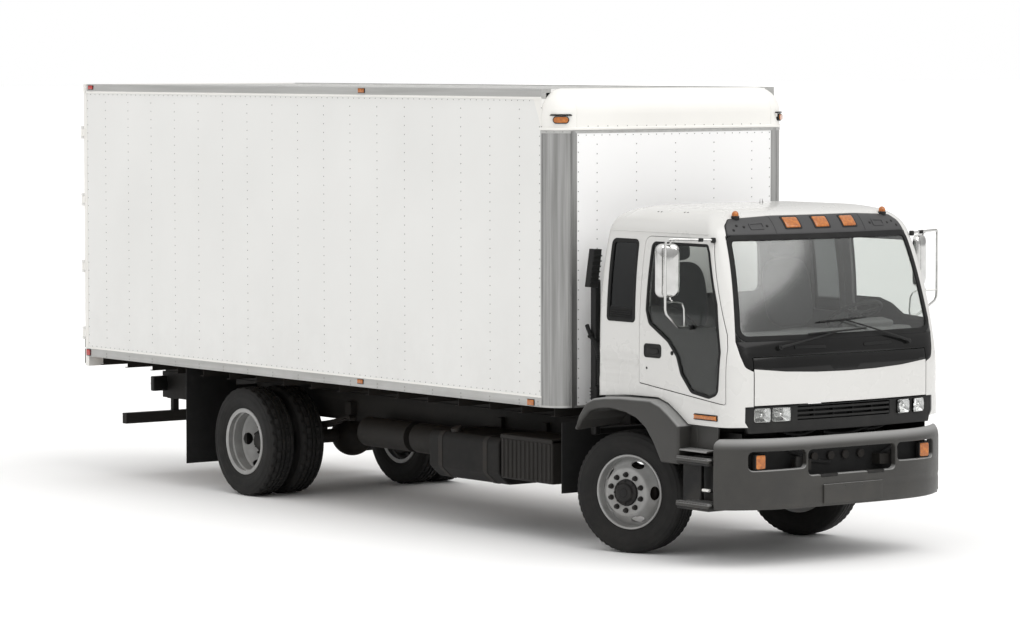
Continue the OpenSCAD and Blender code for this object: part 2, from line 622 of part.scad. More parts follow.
module cab_floor() {
  color([0.12, 0.12, 0.13]) put() {
    // floor pan, firewall, and the underframe with its two tilt arms
    bx([-1028, -1180, 1285], [1028, 222, 1310]);
    bx([-900, -1290, 1285], [900, -1179, 1310]);
    bx([-860, -1310, 1285], [860, -1289, 1600]);
    both() difference() {
      union() {
        bx([rail_x - 64, -1200, 1180], [rail_x - 22, 180, 1286]);
        side_plate(rail_x - 64, rail_x - 22, [[tilt_y - 30, tilt_z - 20], [tilt_y + 24, tilt_z - 24],
          [-1120, 1182], [-1120, 1284], [-1285, 1284]]);
        cx([rail_x - 64, tilt_y, tilt_z], 36, 42);
      }
      cx([rail_x - 70, tilt_y, tilt_z], tilt_r + 0.05, 60);
    }
  }
}
module front_lid() {
  color([0.92, 0.92, 0.9]) put() intersection() {
    cab_skin(0, 34);
    front_plate(-1600, -1200, [[-lid_x, lid_z0], [lid_x, lid_z0], [lid_x, lid_z1], [-lid_x, lid_z1]]);
  }
}
module cowl_panel() {
  color([0.04, 0.04, 0.045]) put() intersection() {
    cab_skin(0, wall_t);
    front_plate(-1600, -1150, [[-cowl_x, lid_z1 + 6], [cowl_x, lid_z1 + 6], [cowl_x, 1751], [-cowl_x, 1751]]);
  }
}
module cab_visor() {
  color([0.15, 0.15, 0.16]) put() intersection() {
    cab_skin(0, wall_t - 10);
    front_plate(-1600, -902, visor_line);
  }
}
// headlamps: columns are inner x, outer x
lamp_x = [[510, 675], [700, 865]];
module grille() {
  color([0.05, 0.05, 0.05]) put() difference() {
    intersection() {
      cab_skin(18, wall_t + 20);
      front_plate(-1600, -1200, [[-grille_x, grille_z0], [grille_x, grille_z0],
        [grille_x, grille_z1], [-grille_x, grille_z1]]);
    }
    both() for (l = lamp_x) bx([l[0] - 1, -1600, 1084], [l[1] + 1, -1200, 1232]);
    for (z = [1095, 1147, 1199]) bx([-480, -1600, z], [480, -1200, z + 34]);
  }
}
module headlamps() {
  color([0.85, 0.87, 0.88]) put() both() for (i = [0, 1]) let (l = lamp_x[i])
    bx([l[0], i == 0 ? -1398 : -1374, 1085], [l[1], i == 0 ? -1320 : -1300, 1231]);
}
module windshield() {
  color([0.5, 0.55, 0.55, 0.4]) put() intersection() {
    cab_skin(10, 18);
    front_plate(-1600, -900, [[-998, 1759], [998, 1759], [914, 2544], [-914, 2544]]);
  }
}
module cab_windows() {
  color([0.3, 0.33, 0.34, 0.5]) put() {
    both() intersection() {
      cab_skin(12, 18);
      side_plate(900, 1300, [[183, 1854], [183, 2488], [-138, 2488], [-158, 1854]]);
    }
    bx([-558, 262, 2022], [558, 268, 2438]);
  }
}
module dashboard() {
  color([0.12, 0.12, 0.13]) put() {
    side_plate(-900, 900, [[-1235, 1500], [-1235, 1752], [-1180, 1800], [-1050, 1800],
      [-990, 1760], [-960, 1600], [-1060, 1480]]);
    // steering column
    bar([550, -1040, 1640], [550, -925, 1842], 32);
  }
}
seat_x = 550;
module seats() {
  color([0.13, 0.13, 0.14]) put() {
    both() {
      // pedestal, cushion, back and headrest
      bx([seat_x - 210, -640, 1311], [seat_x + 210, -160, 1600]);
      bx([seat_x - 250, -690, 1600], [seat_x + 250, -120, 1740]);
      side_plate(seat_x - 240, seat_x + 240, [[-230, 1740], [-70, 1740], [30, 2300], [-70, 2300]]);
      side_plate(seat_x - 130, seat_x + 130, [[-55, 2300], [25, 2300], [50, 2470], [-40, 2470]]);
    }
    bx([-240, -620, 1311], [240, -140, 1690]);
  }
}

// ---------- doors ----------
module door(s) {
  mirror([s > 0 ? 0 : 1, 0, 0]) difference() {
    intersection() {
      cab_skin(0, wall_t - 12);
      side_cut(door_line, -shut / 2, 900, 1300);
    }
    side_cut(door_window, 0, 900, 1300);
  }
}
module door_left() { color([0.92, 0.92, 0.9]) put() door(1); }
module door_right() { color([0.92, 0.92, 0.9]) put() door(-1); }
module door_glass(s) {
  mirror([s > 0 ? 0 : 1, 0, 0]) intersection() {
    cab_skin(12, 18);
    side_cut(door_window, -2, 900, 1300);
  }
}
module door_glass_left() { color([0.3, 0.33, 0.34, 0.5]) put() door_glass(1); }
module door_glass_right() { color([0.3, 0.33, 0.34, 0.5]) put() door_glass(-1); }
// mirror arm: columns are x, y, z
arm_pts = [[1030, -1045, 2520], [1330, -985, 2532], [1330, -985, 1985], [1235, -960, 1880], [1101, -900, 1850]];
module mirror_unit(s) {
  mirror([s > 0 ? 0 : 1, 0, 0]) {
    for (i = [0:3]) bar(arm_pts[i], arm_pts[i+1], 11);
    for (i = [1:3]) translate(arm_pts[i]) sphere(r = 13.5);
    bx([1250, -966, 2085], [1420, -905, 2470]);
    bx([1318, -986, 2440], [1342, -960, 2462]);
    bx([1318, -986, 2100], [1342, -960, 2122]);
  }
}
module mirror_left() { color([0.8, 0.8, 0.8]) put() mirror_unit(1); }
module mirror_right() { color([0.8, 0.8, 0.8]) put() mirror_unit(-1); }
// steering wheel about its own axis, placed at the top of the column
sw = [550, -912, 1866];
sw_tilt = 30;
module steering_wheel() {
  color([0.05, 0.05, 0.05]) put() translate(sw) rotate([-sw_tilt, 0, 0]) {
    rotate_extrude() translate([220, 20]) circle(r = 15);
    cylinder(r = 52, h = 30);
    for (a = [0, 120, 240]) rotate([0, 0, a + 90]) bx([40, -17, 10], [212, 17, 24]);
    translate([0, 0, -20]) cylinder(r = 20, h = 21);
  }
}

chassis_frame();
front_axle();
leaf_springs();
rear_axle();
driveshaft();
engine_block();
radiator();
fuel_tank();
battery_box();
air_cleaner();
exhaust_muffler();
air_tanks();
front_bumper();
marker_lamps();
fenders();
cab_steps();
mudflaps();
underride_guard();
box_floor();
box_side_left();
box_side_right();
box_front_wall();
box_roof();
box_corner_posts();
box_nose();
box_rails();
rear_frame();
rear_door_left();
rear_door_right();
cab_shell();
cab_floor();
front_lid();
cowl_panel();
cab_visor();
grille();
headlamps();
windshield();
cab_windows();
dashboard();
seats();
door_left();
door_right();
door_glass_left();
door_glass_right();
mirror_left();
mirror_right();
steering_wheel();
knuckle_left();
knuckle_right();
tie_rod();
tyre_front_left();
tyre_front_right();
wheel_front_left();
wheel_front_right();
tyres_rear_left();
tyres_rear_right();
wheels_rear_left();
wheels_rear_right();
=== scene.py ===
import math

import bmesh
import bpy
import numpy as np
from mathutils import Matrix, Vector
from mathutils.geometry import delaunay_2d_cdt


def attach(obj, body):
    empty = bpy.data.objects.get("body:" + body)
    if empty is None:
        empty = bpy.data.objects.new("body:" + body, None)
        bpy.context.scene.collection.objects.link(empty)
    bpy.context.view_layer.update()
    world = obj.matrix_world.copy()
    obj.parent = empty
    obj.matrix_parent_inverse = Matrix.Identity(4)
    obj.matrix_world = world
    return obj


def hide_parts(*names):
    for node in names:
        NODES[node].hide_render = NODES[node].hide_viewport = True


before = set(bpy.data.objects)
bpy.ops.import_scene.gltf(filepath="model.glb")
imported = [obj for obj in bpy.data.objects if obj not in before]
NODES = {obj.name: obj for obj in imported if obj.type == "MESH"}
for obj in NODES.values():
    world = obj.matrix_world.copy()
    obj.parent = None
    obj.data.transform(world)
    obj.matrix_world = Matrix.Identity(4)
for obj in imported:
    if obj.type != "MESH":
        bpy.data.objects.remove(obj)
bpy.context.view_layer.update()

OY = 3253.0
scene = bpy.context.scene


def W(p):
    return (p[0] / 1000, (p[1] - OY) / 1000, p[2] / 1000)


# ---------- camera, light, floor ----------
AZ, EL, ROLL = -0.642483, 0.0646280, -0.00122387
back = Vector((math.sin(AZ) * math.cos(EL), -math.cos(AZ) * math.cos(EL), math.sin(EL)))
right = (-back).cross(Vector((0, 0, 1))).normalized()
up = right.cross(-back)
cr = math.cos(ROLL) * right + math.sin(ROLL) * up
cu = -math.sin(ROLL) * right + math.cos(ROLL) * up
cd = bpy.data.cameras.new("photo_camera")
cd.sensor_width, cd.lens = 36, 144.616
cd.clip_start, cd.clip_end = 1, 3000
cam = bpy.data.objects.new("photo_camera", cd)
scene.collection.objects.link(cam)
cam.matrix_world = Matrix(((cr.x, cu.x, back.x, -21.1298), (cr.y, cu.y, back.y, -28.5499),
                           (cr.z, cu.z, back.z, 3.9525), (0, 0, 0, 1)))
scene.camera = cam
scene.view_settings.view_transform = "Standard"
scene.view_settings.look = "None"

world = bpy.data.worlds.new("studio")
scene.world = world
world.use_nodes = True
wn = world.node_tree
bg = wn.nodes["Background"]
bg.inputs[0].default_value = (1.0, 0.995, 0.985, 1)
wtc = wn.nodes.new("ShaderNodeTexCoord")
wsx = wn.nodes.new("ShaderNodeSeparateXYZ")
wmr = wn.nodes.new("ShaderNodeMapRange")
wmr.inputs["From Min"].default_value = -0.1
wmr.inputs["From Max"].default_value = 0.9
wmr.inputs["To Min"].default_value = 0.42
wmr.inputs["To Max"].default_value = 1.10
wn.links.new(wtc.outputs["Generated"], wsx.inputs[0])
wn.links.new(wsx.outputs["Z"], wmr.inputs["Value"])
wn.links.new(wmr.outputs[0], bg.inputs[1])
bg2 = wn.nodes.new("ShaderNodeBackground")
bg2.inputs[0].default_value = (1, 1, 1, 1)
bg2.inputs[1].default_value = 1.0
lp = wn.nodes.new("ShaderNodeLightPath")
mx = wn.nodes.new("ShaderNodeMixShader")
wn.links.new(lp.outputs["Is Camera Ray"], mx.inputs[0])
wn.links.new(bg.outputs[0], mx.inputs[1])
wn.links.new(bg2.outputs[0], mx.inputs[2])
wn.links.new(mx.outputs[0], wn.nodes["World Output"].inputs[0])


def sun(name, direction, strength, angle, col=(1, 1, 1)):
    d = bpy.data.lights.new(name, "SUN")
    d.energy, d.angle, d.color = strength, math.radians(angle), col
    o = bpy.data.objects.new(name, d)
    scene.collection.objects.link(o)
    o.rotation_mode = "QUATERNION"
    o.rotation_quaternion = Vector(direction).normalized().to_track_quat("Z", "Y")
    return o


sun("key", (0.22, -0.95, 1.05), 1.36, 55, (1, 0.99, 0.98))
sun("fill", (-1.0, -0.25, 0.8), 0.42, 90)

# ---------- materials ----------
MATS = {}


def mk(name, col, col2=None, rough=0.5, metal=0.0, coat=0.0, nscale=3.0, rvar=0.06, bump=0.0,
       bscale=150.0, stretch=(1, 1, 1), grime=0.0, grime_top=1.3, edge_wear_and_highlight=0.0, edge_wear_highlight_col=(0.5, 0.5, 0.5),
       trans=0.0, ior=1.45, sheen=0.0, contrast=1.0, gcol=(0.16, 0.14, 0.11), spec=0.5,
       top_face_highlight=0.0, thin=None):
    if name in MATS:
        return MATS[name]
    m = bpy.data.materials.new(name)
    m.use_nodes = True
    t = m.node_tree
    n, l = t.nodes, t.links
    p = n["Principled BSDF"]
    p.inputs["Metallic"].default_value = metal
    p.inputs["Coat Weight"].default_value = coat
    p.inputs["Coat Roughness"].default_value = 0.06
    p.inputs["IOR"].default_value = ior
    p.inputs["Transmission Weight"].default_value = trans
    p.inputs["Sheen Weight"].default_value = sheen
    p.inputs["Specular IOR Level"].default_value = spec
    tc = n.new("ShaderNodeTexCoord")
    mp = n.new("ShaderNodeMapping")
    mp.inputs["Scale"].default_value = stretch
    l.new(tc.outputs["Object"], mp.inputs[0])
    no = n.new("ShaderNodeTexNoise")
    no.inputs["Scale"].default_value = nscale
    no.inputs["Detail"].default_value = 5
    l.new(mp.outputs[0], no.inputs["Vector"])
    mr = n.new("ShaderNodeMapRange")
    mr.inputs["From Min"].default_value = 0.5 - 0.2 / contrast
    mr.inputs["From Max"].default_value = 0.5 + 0.2 / contrast
    l.new(no.outputs["Fac"], mr.inputs["Value"])
    col2 = col2 or tuple(c * 0.9 for c in col)
    mc = n.new("ShaderNodeMix")
    mc.data_type = "RGBA"
    mc.inputs["A"].default_value = (*col, 1)
    mc.inputs["B"].default_value = (*col2, 1)
    l.new(mr.outputs[0], mc.inputs["Factor"])
    out = mc.outputs["Result"]
    if grime:
        sx = n.new("ShaderNodeSeparateXYZ")
        l.new(tc.outputs["Object"], sx.inputs[0])
        gz = n.new("ShaderNodeMapRange")
        gz.inputs["From Min"].default_value = grime_top
        gz.inputs["From Max"].default_value = grime_top - 1.1
        l.new(sx.outputs["Z"], gz.inputs["Value"])
        n3 = n.new("ShaderNodeTexNoise")
        n3.inputs["Scale"].default_value = 5
        n3.inputs["Detail"].default_value = 9
        n3.inputs["Roughness"].default_value = 0.65
        l.new(tc.outputs["Object"], n3.inputs["Vector"])
        g2 = n.new("ShaderNodeMapRange")
        g2.inputs["From Min"].default_value = 0.4
        g2.inputs["From Max"].default_value = 0.7
        l.new(n3.outputs["Fac"], g2.inputs["Value"])
        mu = n.new("ShaderNodeMath")
        mu.operation = "MULTIPLY"
        l.new(gz.outputs[0], mu.inputs[0])
        l.new(g2.outputs[0], mu.inputs[1])
        mu2 = n.new("ShaderNodeMath")
        mu2.operation = "MULTIPLY"
        mu2.inputs[1].default_value = grime
        l.new(mu.outputs[0], mu2.inputs[0])
        gm = n.new("ShaderNodeMix")
        gm.data_type = "RGBA"
        gm.inputs["B"].default_value = (*gcol, 1)
        l.new(mu2.outputs[0], gm.inputs["Factor"])
        l.new(out, gm.inputs["A"])
        out = gm.outputs["Result"]
    if top_face_highlight:
        # painted highlight: upward faces are mixed towards a pale grey, standing in for the brighter light falling on
        # them from above
        cg = n.new("ShaderNodeNewGeometry")
        cx = n.new("ShaderNodeSeparateXYZ")
        l.new(cg.outputs["Normal"], cx.inputs[0])
        cm = n.new("ShaderNodeMapRange")
        cm.interpolation_type = "SMOOTHSTEP"
        cm.inputs["From Min"].default_value = 0.06
        cm.inputs["From Max"].default_value = 0.75
        cm.inputs["To Max"].default_value = top_face_highlight
        l.new(cx.outputs["Z"], cm.inputs["Value"])
        ck = n.new("ShaderNodeMix")
        ck.data_type = "RGBA"
        ck.inputs["B"].default_value = (0.30, 0.30, 0.295, 1)
        l.new(cm.outputs[0], ck.inputs["Factor"])
        l.new(out, ck.inputs["A"])
        out = ck.outputs["Result"]
    # convex edges (pointiness) are mixed towards a lighter brown: partly rubbed wear, partly a painted edge highlight
    if edge_wear_and_highlight:
        ge = n.new("ShaderNodeNewGeometry")
        wr = n.new("ShaderNodeMapRange")
        wr.inputs["From Min"].default_value = 0.52
        wr.inputs["From Max"].default_value = 0.60
        wr.inputs["To Max"].default_value = edge_wear_and_highlight
        l.new(ge.outputs["Pointiness"], wr.inputs["Value"])
        wm = n.new("ShaderNodeMix")
        wm.data_type = "RGBA"
        wm.inputs["B"].default_value = (*edge_wear_highlight_col, 1)
        l.new(wr.outputs[0], wm.inputs["Factor"])
        l.new(out, wm.inputs["A"])
        out = wm.outputs["Result"]
    l.new(out, p.inputs["Base Color"])
    n2 = n.new("ShaderNodeTexNoise")
    n2.inputs["Scale"].default_value = nscale * 3.1
    n2.inputs["Detail"].default_value = 4
    l.new(mp.outputs[0], n2.inputs["Vector"])
    rr = n.new("ShaderNodeMapRange")
    rr.inputs["To Min"].default_value = max(0.02, rough - rvar)
    rr.inputs["To Max"].default_value = min(1, rough + rvar)
    l.new(n2.outputs["Fac"], rr.inputs["Value"])
    l.new(rr.outputs[0], p.inputs["Roughness"])
    if bump:
        n4 = n.new("ShaderNodeTexNoise")
        n4.inputs["Scale"].default_value = bscale
        n4.inputs["Detail"].default_value = 3
        l.new(mp.outputs[0], n4.inputs["Vector"])
        b = n.new("ShaderNodeBump")
        b.inputs["Strength"].default_value = bump
        b.inputs["Distance"].default_value = 0.002
        l.new(n4.outputs["Fac"], b.inputs["Height"])
        l.new(b.outputs[0], p.inputs["Normal"])
    if thin:
        # a thin pane: mostly clear, with a faint mirror over it
        tr = n.new("ShaderNodeBsdfTransparent")
        tr.inputs[0].default_value = (*thin[1], 1)
        ms = n.new("ShaderNodeMixShader")
        ms.inputs[0].default_value = thin[0]
        l.new(tr.outputs[0], ms.inputs[1])
        l.new(p.outputs[0], ms.inputs[2])
        l.new(ms.outputs[0], n["Material Output"].inputs[0])
    MATS[name] = m
    return m


WHITE = mk("cab_white_paint", (0.60, 0.596, 0.58), (0.58, 0.576, 0.56), rough=0.28, coat=0.45, nscale=1.2, grime=0.10,
           bump=0.03, bscale=400)
PANEL = mk("body_white_panel", (0.74, 0.74, 0.725), (0.70, 0.70, 0.685), rough=0.38, coat=0.25, nscale=0.9, grime=0.08,
           grime_top=2.0, bump=0.12, bscale=6)
# painted light: the front wall is the same white panel as the sides and roof, given a brighter colour to stand in for
# the stronger light on that face
FRONT_WALL_LIT = mk("front_wall_panel_lit", (0.85, 0.85, 0.85), (0.82, 0.82, 0.82), rough=0.38, coat=0.25, nscale=0.9, bump=0.12,
            bscale=6)
NOSE = mk("moulded_white", (0.80, 0.79, 0.76), (0.76, 0.75, 0.72), rough=0.45, nscale=2, bump=0.06, bscale=90)
ALU = mk("brushed_aluminium", (0.40, 0.40, 0.395), (0.22, 0.22, 0.215), rough=0.36, metal=0.75, nscale=26,
         stretch=(1, 1, 0.03), bump=0.12, bscale=60, grime=0.15)
ALUH = mk("extruded_aluminium", (0.50, 0.50, 0.49), (0.40, 0.40, 0.39), rough=0.38, metal=0.7, nscale=26,
          stretch=(1, 0.03, 1), bump=0.12, bscale=60, grime=0.2, grime_top=1.8)
# edges of the black parts are lightened: partly wear, partly painted highlight
BLACK = mk("chassis_black", (0.0045, 0.0045, 0.0045), (0.008, 0.0075, 0.007), rough=0.6, nscale=6, grime=0.2, bump=0.15, spec=0.22,
           bscale=60, gcol=(0.03, 0.027, 0.022), edge_wear_and_highlight=0.25, edge_wear_highlight_col=(0.05, 0.045, 0.04))
# painted highlight: the tops of the bumper, fenders and steps are lightened by the normal-based mix in mk
GREY = mk("grey_plastic", (0.037, 0.036, 0.033), (0.031, 0.030, 0.028), rough=0.42, spec=0.45, top_face_highlight=0.85, nscale=4, bump=0.35, bscale=700,
          grime=0.18, grime_top=1.0, rvar=0.05)
BLKP = mk("black_plastic", (0.008, 0.008, 0.008), (0.012, 0.012, 0.012), rough=0.5, nscale=5, bump=0.25, bscale=600, spec=0.3,
          grime=0.15)
GLOSS = mk("gloss_black", (0.006, 0.006, 0.006), (0.009, 0.009, 0.009), rough=0.14, coat=0.1, nscale=2, rvar=0.03, spec=0.25)
VISOR = mk("visor_plastic", (0.038, 0.038, 0.040), (0.046, 0.046, 0.047), rough=0.5, nscale=4, bump=0.25, bscale=500)
TYRE = mk("tyre_rubber", (0.0075, 0.0075, 0.0075), (0.012, 0.0115, 0.011), rough=0.7, nscale=7, bump=0.2, bscale=220, spec=0.3,
          grime=0.25, grime_top=1.3, gcol=(0.035, 0.032, 0.028))
WHEEL = mk("wheel_grey_paint", (0.34, 0.34, 0.335), (0.28, 0.28, 0.275), rough=0.42, metal=0.2, nscale=9, grime=0.35,
           grime_top=1.25, bump=0.08, bscale=200, gcol=(0.14, 0.12, 0.10))
HUBB = mk("hub_black", (0.006, 0.006, 0.006), (0.011, 0.010, 0.010), rough=0.45, nscale=14, bump=0.3, bscale=150, spec=0.3,
          grime=0.3, gcol=(0.08, 0.07, 0.06))
CHROME = mk("chrome", (0.62, 0.62, 0.61), (0.50, 0.50, 0.49), rough=0.12, metal=1.0, nscale=12, rvar=0.05)
GLASS = mk("window_glass", (0.75, 0.76, 0.76), (0.72, 0.73, 0.73), rough=0.03, metal=1.0, nscale=2, rvar=0.015,
           thin=(0.03, (0.89, 0.90, 0.89)))
GLASSW = mk("windshield_glass", (0.80, 0.80, 0.80), (0.76, 0.76, 0.76), rough=0.12, metal=1.0, nscale=2, rvar=0.02,
            thin=(0.10, (0.90, 0.915, 0.905)))
GLASSD = mk("dark_glass", (0.75, 0.76, 0.77), (0.72, 0.73, 0.74), rough=0.04, metal=1.0, nscale=2, rvar=0.015,
            thin=(0.07, (0.34, 0.35, 0.35)))
LENS = mk("lamp_lens", (0.95, 0.96, 0.96), (0.92, 0.93, 0.93), rough=0.04, trans=1.0, ior=1.45, nscale=30, bump=0.5,
          bscale=45, stretch=(1, 1, 0.15))
AMBER = mk("amber_lens", (0.50, 0.155, 0.012), (0.28, 0.07, 0.006), rough=0.18, coat=0.6, nscale=45, bump=0.35,
           bscale=120)
RED = mk("red_lens", (0.45, 0.018, 0.012), (0.34, 0.012, 0.010), rough=0.2, coat=0.6, nscale=45, bump=0.3, bscale=120)
WOOD = mk("floor_wood", (0.30, 0.20, 0.12), (0.22, 0.14, 0.085), rough=0.6, nscale=14, stretch=(1, 0.06, 1), bump=0.3,
          bscale=40)
INT = mk("interior_grey", (0.19, 0.19, 0.19), (0.16, 0.16, 0.16), rough=0.65, nscale=5, bump=0.3, bscale=350)
CLOTH = mk("seat_cloth", (0.085, 0.086, 0.09), (0.065, 0.066, 0.07), rough=0.9, nscale=160, bump=0.3, bscale=420,
           sheen=0.25)
IRON = mk("cast_iron", (0.014, 0.0135, 0.013), (0.022, 0.018, 0.015), rough=0.65, nscale=16, bump=0.4, bscale=160, spec=0.3,
          grime=0.25, gcol=(0.05, 0.042, 0.034))
EXH = mk("exhaust_steel", (0.09, 0.08, 0.07), (0.06, 0.045, 0.038), rough=0.5, metal=0.6, nscale=12, bump=0.2,
         bscale=90)
RUB = mk("rubber", (0.007, 0.007, 0.007), (0.011, 0.011, 0.011), spec=0.3, rough=0.7, nscale=10, bump=0.2, bscale=200)
RIVET = mk("rivet_metal", (0.36, 0.36, 0.35), (0.25, 0.25, 0.24), rough=0.42, metal=0.5, nscale=60)
RIVD = mk("rivet_dark", (0.20, 0.20, 0.19), (0.13, 0.13, 0.12), rough=0.5, metal=0.3, nscale=60)
FLOORM = mk("studio_floor", (0.93, 0.93, 0.93), (0.91, 0.91, 0.91), rough=0.85, nscale=0.5)


def setmat(node, m):
    o = NODES[node]
    if not o.material_slots:
        o.data.materials.append(m)
    for s in o.material_slots:
        s.material = m


fl = bpy.data.meshes.new("studio_floor")
fl.from_pydata([(-400, -400, 0), (400, -400, 0), (400, 400, 0), (-400, 400, 0)], [], [(0, 1, 2, 3)])
fl.materials.append(FLOORM)
floor = bpy.data.objects.new("studio_floor", fl)
scene.collection.objects.link(floor)


# ---------- mesh helpers (datum millimetres) ----------
def lerp(a, b, t):
    return a + (b - a) * t


def area2(p):
    p = np.asarray(p, float)
    x, y = p[:, 0], p[:, 1]
    return 0.5 * float(np.sum(x * np.roll(y, -1) - np.roll(x, -1) * y))


def off(poly, d):
    """Moves every edge of a counter-clockwise outline to its left by d, a number or one per vertex."""
    P = np.asarray(poly, float)
    e = np.roll(P, -1, 0) - P
    e /= np.maximum(np.linalg.norm(e, axis=1), 1e-9)[:, None]
    nl = np.stack([-e[:, 1], e[:, 0]], 1)
    npv = np.roll(nl, 1, 0)
    m = nl + npv
    dn = 1 + np.sum(nl * npv, 1)
    k = 1 / np.maximum(dn, 0.35)
    return P + m * (k * d)[:, None]


def rounded(pts, r, seg=5):
    """Rounds an outline's corners; r is one radius or a list."""
    n = len(pts)
    out = []
    for i in range(n):
        p0, p, p1 = (np.array(pts[j % n], float) for j in (i - 1, i, i + 1))
        rr = r[i] if isinstance(r, (list, tuple)) else r
        a, b = p0 - p, p1 - p
        la, lb = np.linalg.norm(a), np.linalg.norm(b)
        c = np.clip(np.dot(a, b) / (la * lb), -1, 1)
        th = math.acos(c)
        d = min(rr / max(math.tan(th / 2), 1e-3), 0.48 * la, 0.48 * lb)
        if rr <= 0 or d < 0.5:
            out.append(tuple(p))
            continue
        q0, q1 = p + a / la * d, p + b / lb * d
        for k in range(seg + 1):
            t = k / seg
            # rational quadratic weight for a rounder arc
            w = math.sin(th / 2)
            den = (1 - t) ** 2 + 2 * t * (1 - t) * w + t * t
            out.append(tuple(((1 - t) ** 2 * q0 + 2 * t * (1 - t) * w * p + t * t * q1) / den))
    return out


def dense(pts, step, closed=True):
    out = []
    n = len(pts)
    for i in range(n if closed else n - 1):
        a, b = np.array(pts[i], float), np.array(pts[(i + 1) % n], float)
        k = max(1, int(math.ceil(np.linalg.norm(b - a) / step)))
        for j in range(k):
            out.append(tuple(a + (b - a) * j / k))
    if not closed:
        out.append(tuple(pts[-1]))
    return out


def inside(P, loop):
    x, y = P[:, 0], P[:, 1]
    r = np.zeros(len(P), bool)
    L = np.asarray(loop)
    M = np.roll(L, -1, 0)
    for (x0, y0), (x1, y1) in zip(L, M):
        if y0 == y1:
            continue
        c = ((y0 > y) != (y1 > y)) & (x < (x1 - x0) * (y - y0) / (y1 - y0) + x0)
        r ^= c
    return r


def near(P, loop, d):
    """Points closer than d to an outline."""
    L = np.asarray(loop, float)
    M = np.roll(L, -1, 0)
    hit = np.zeros(len(P), bool)
    for a, b in zip(L, M):
        lo, hi = np.minimum(a, b) - d, np.maximum(a, b) + d
        k = np.where((P[:, 0] > lo[0]) & (P[:, 0] < hi[0]) & (P[:, 1] > lo[1]) & (P[:, 1] < hi[1]))[0]
        if not len(k):
            continue
        ab = b - a
        t = np.clip(((P[k] - a) @ ab) / max(ab @ ab, 1e-9), 0, 1)
        q = a + t[:, None] * ab
        hit[k[np.linalg.norm(P[k] - q, axis=1) < d]] = True
    return hit


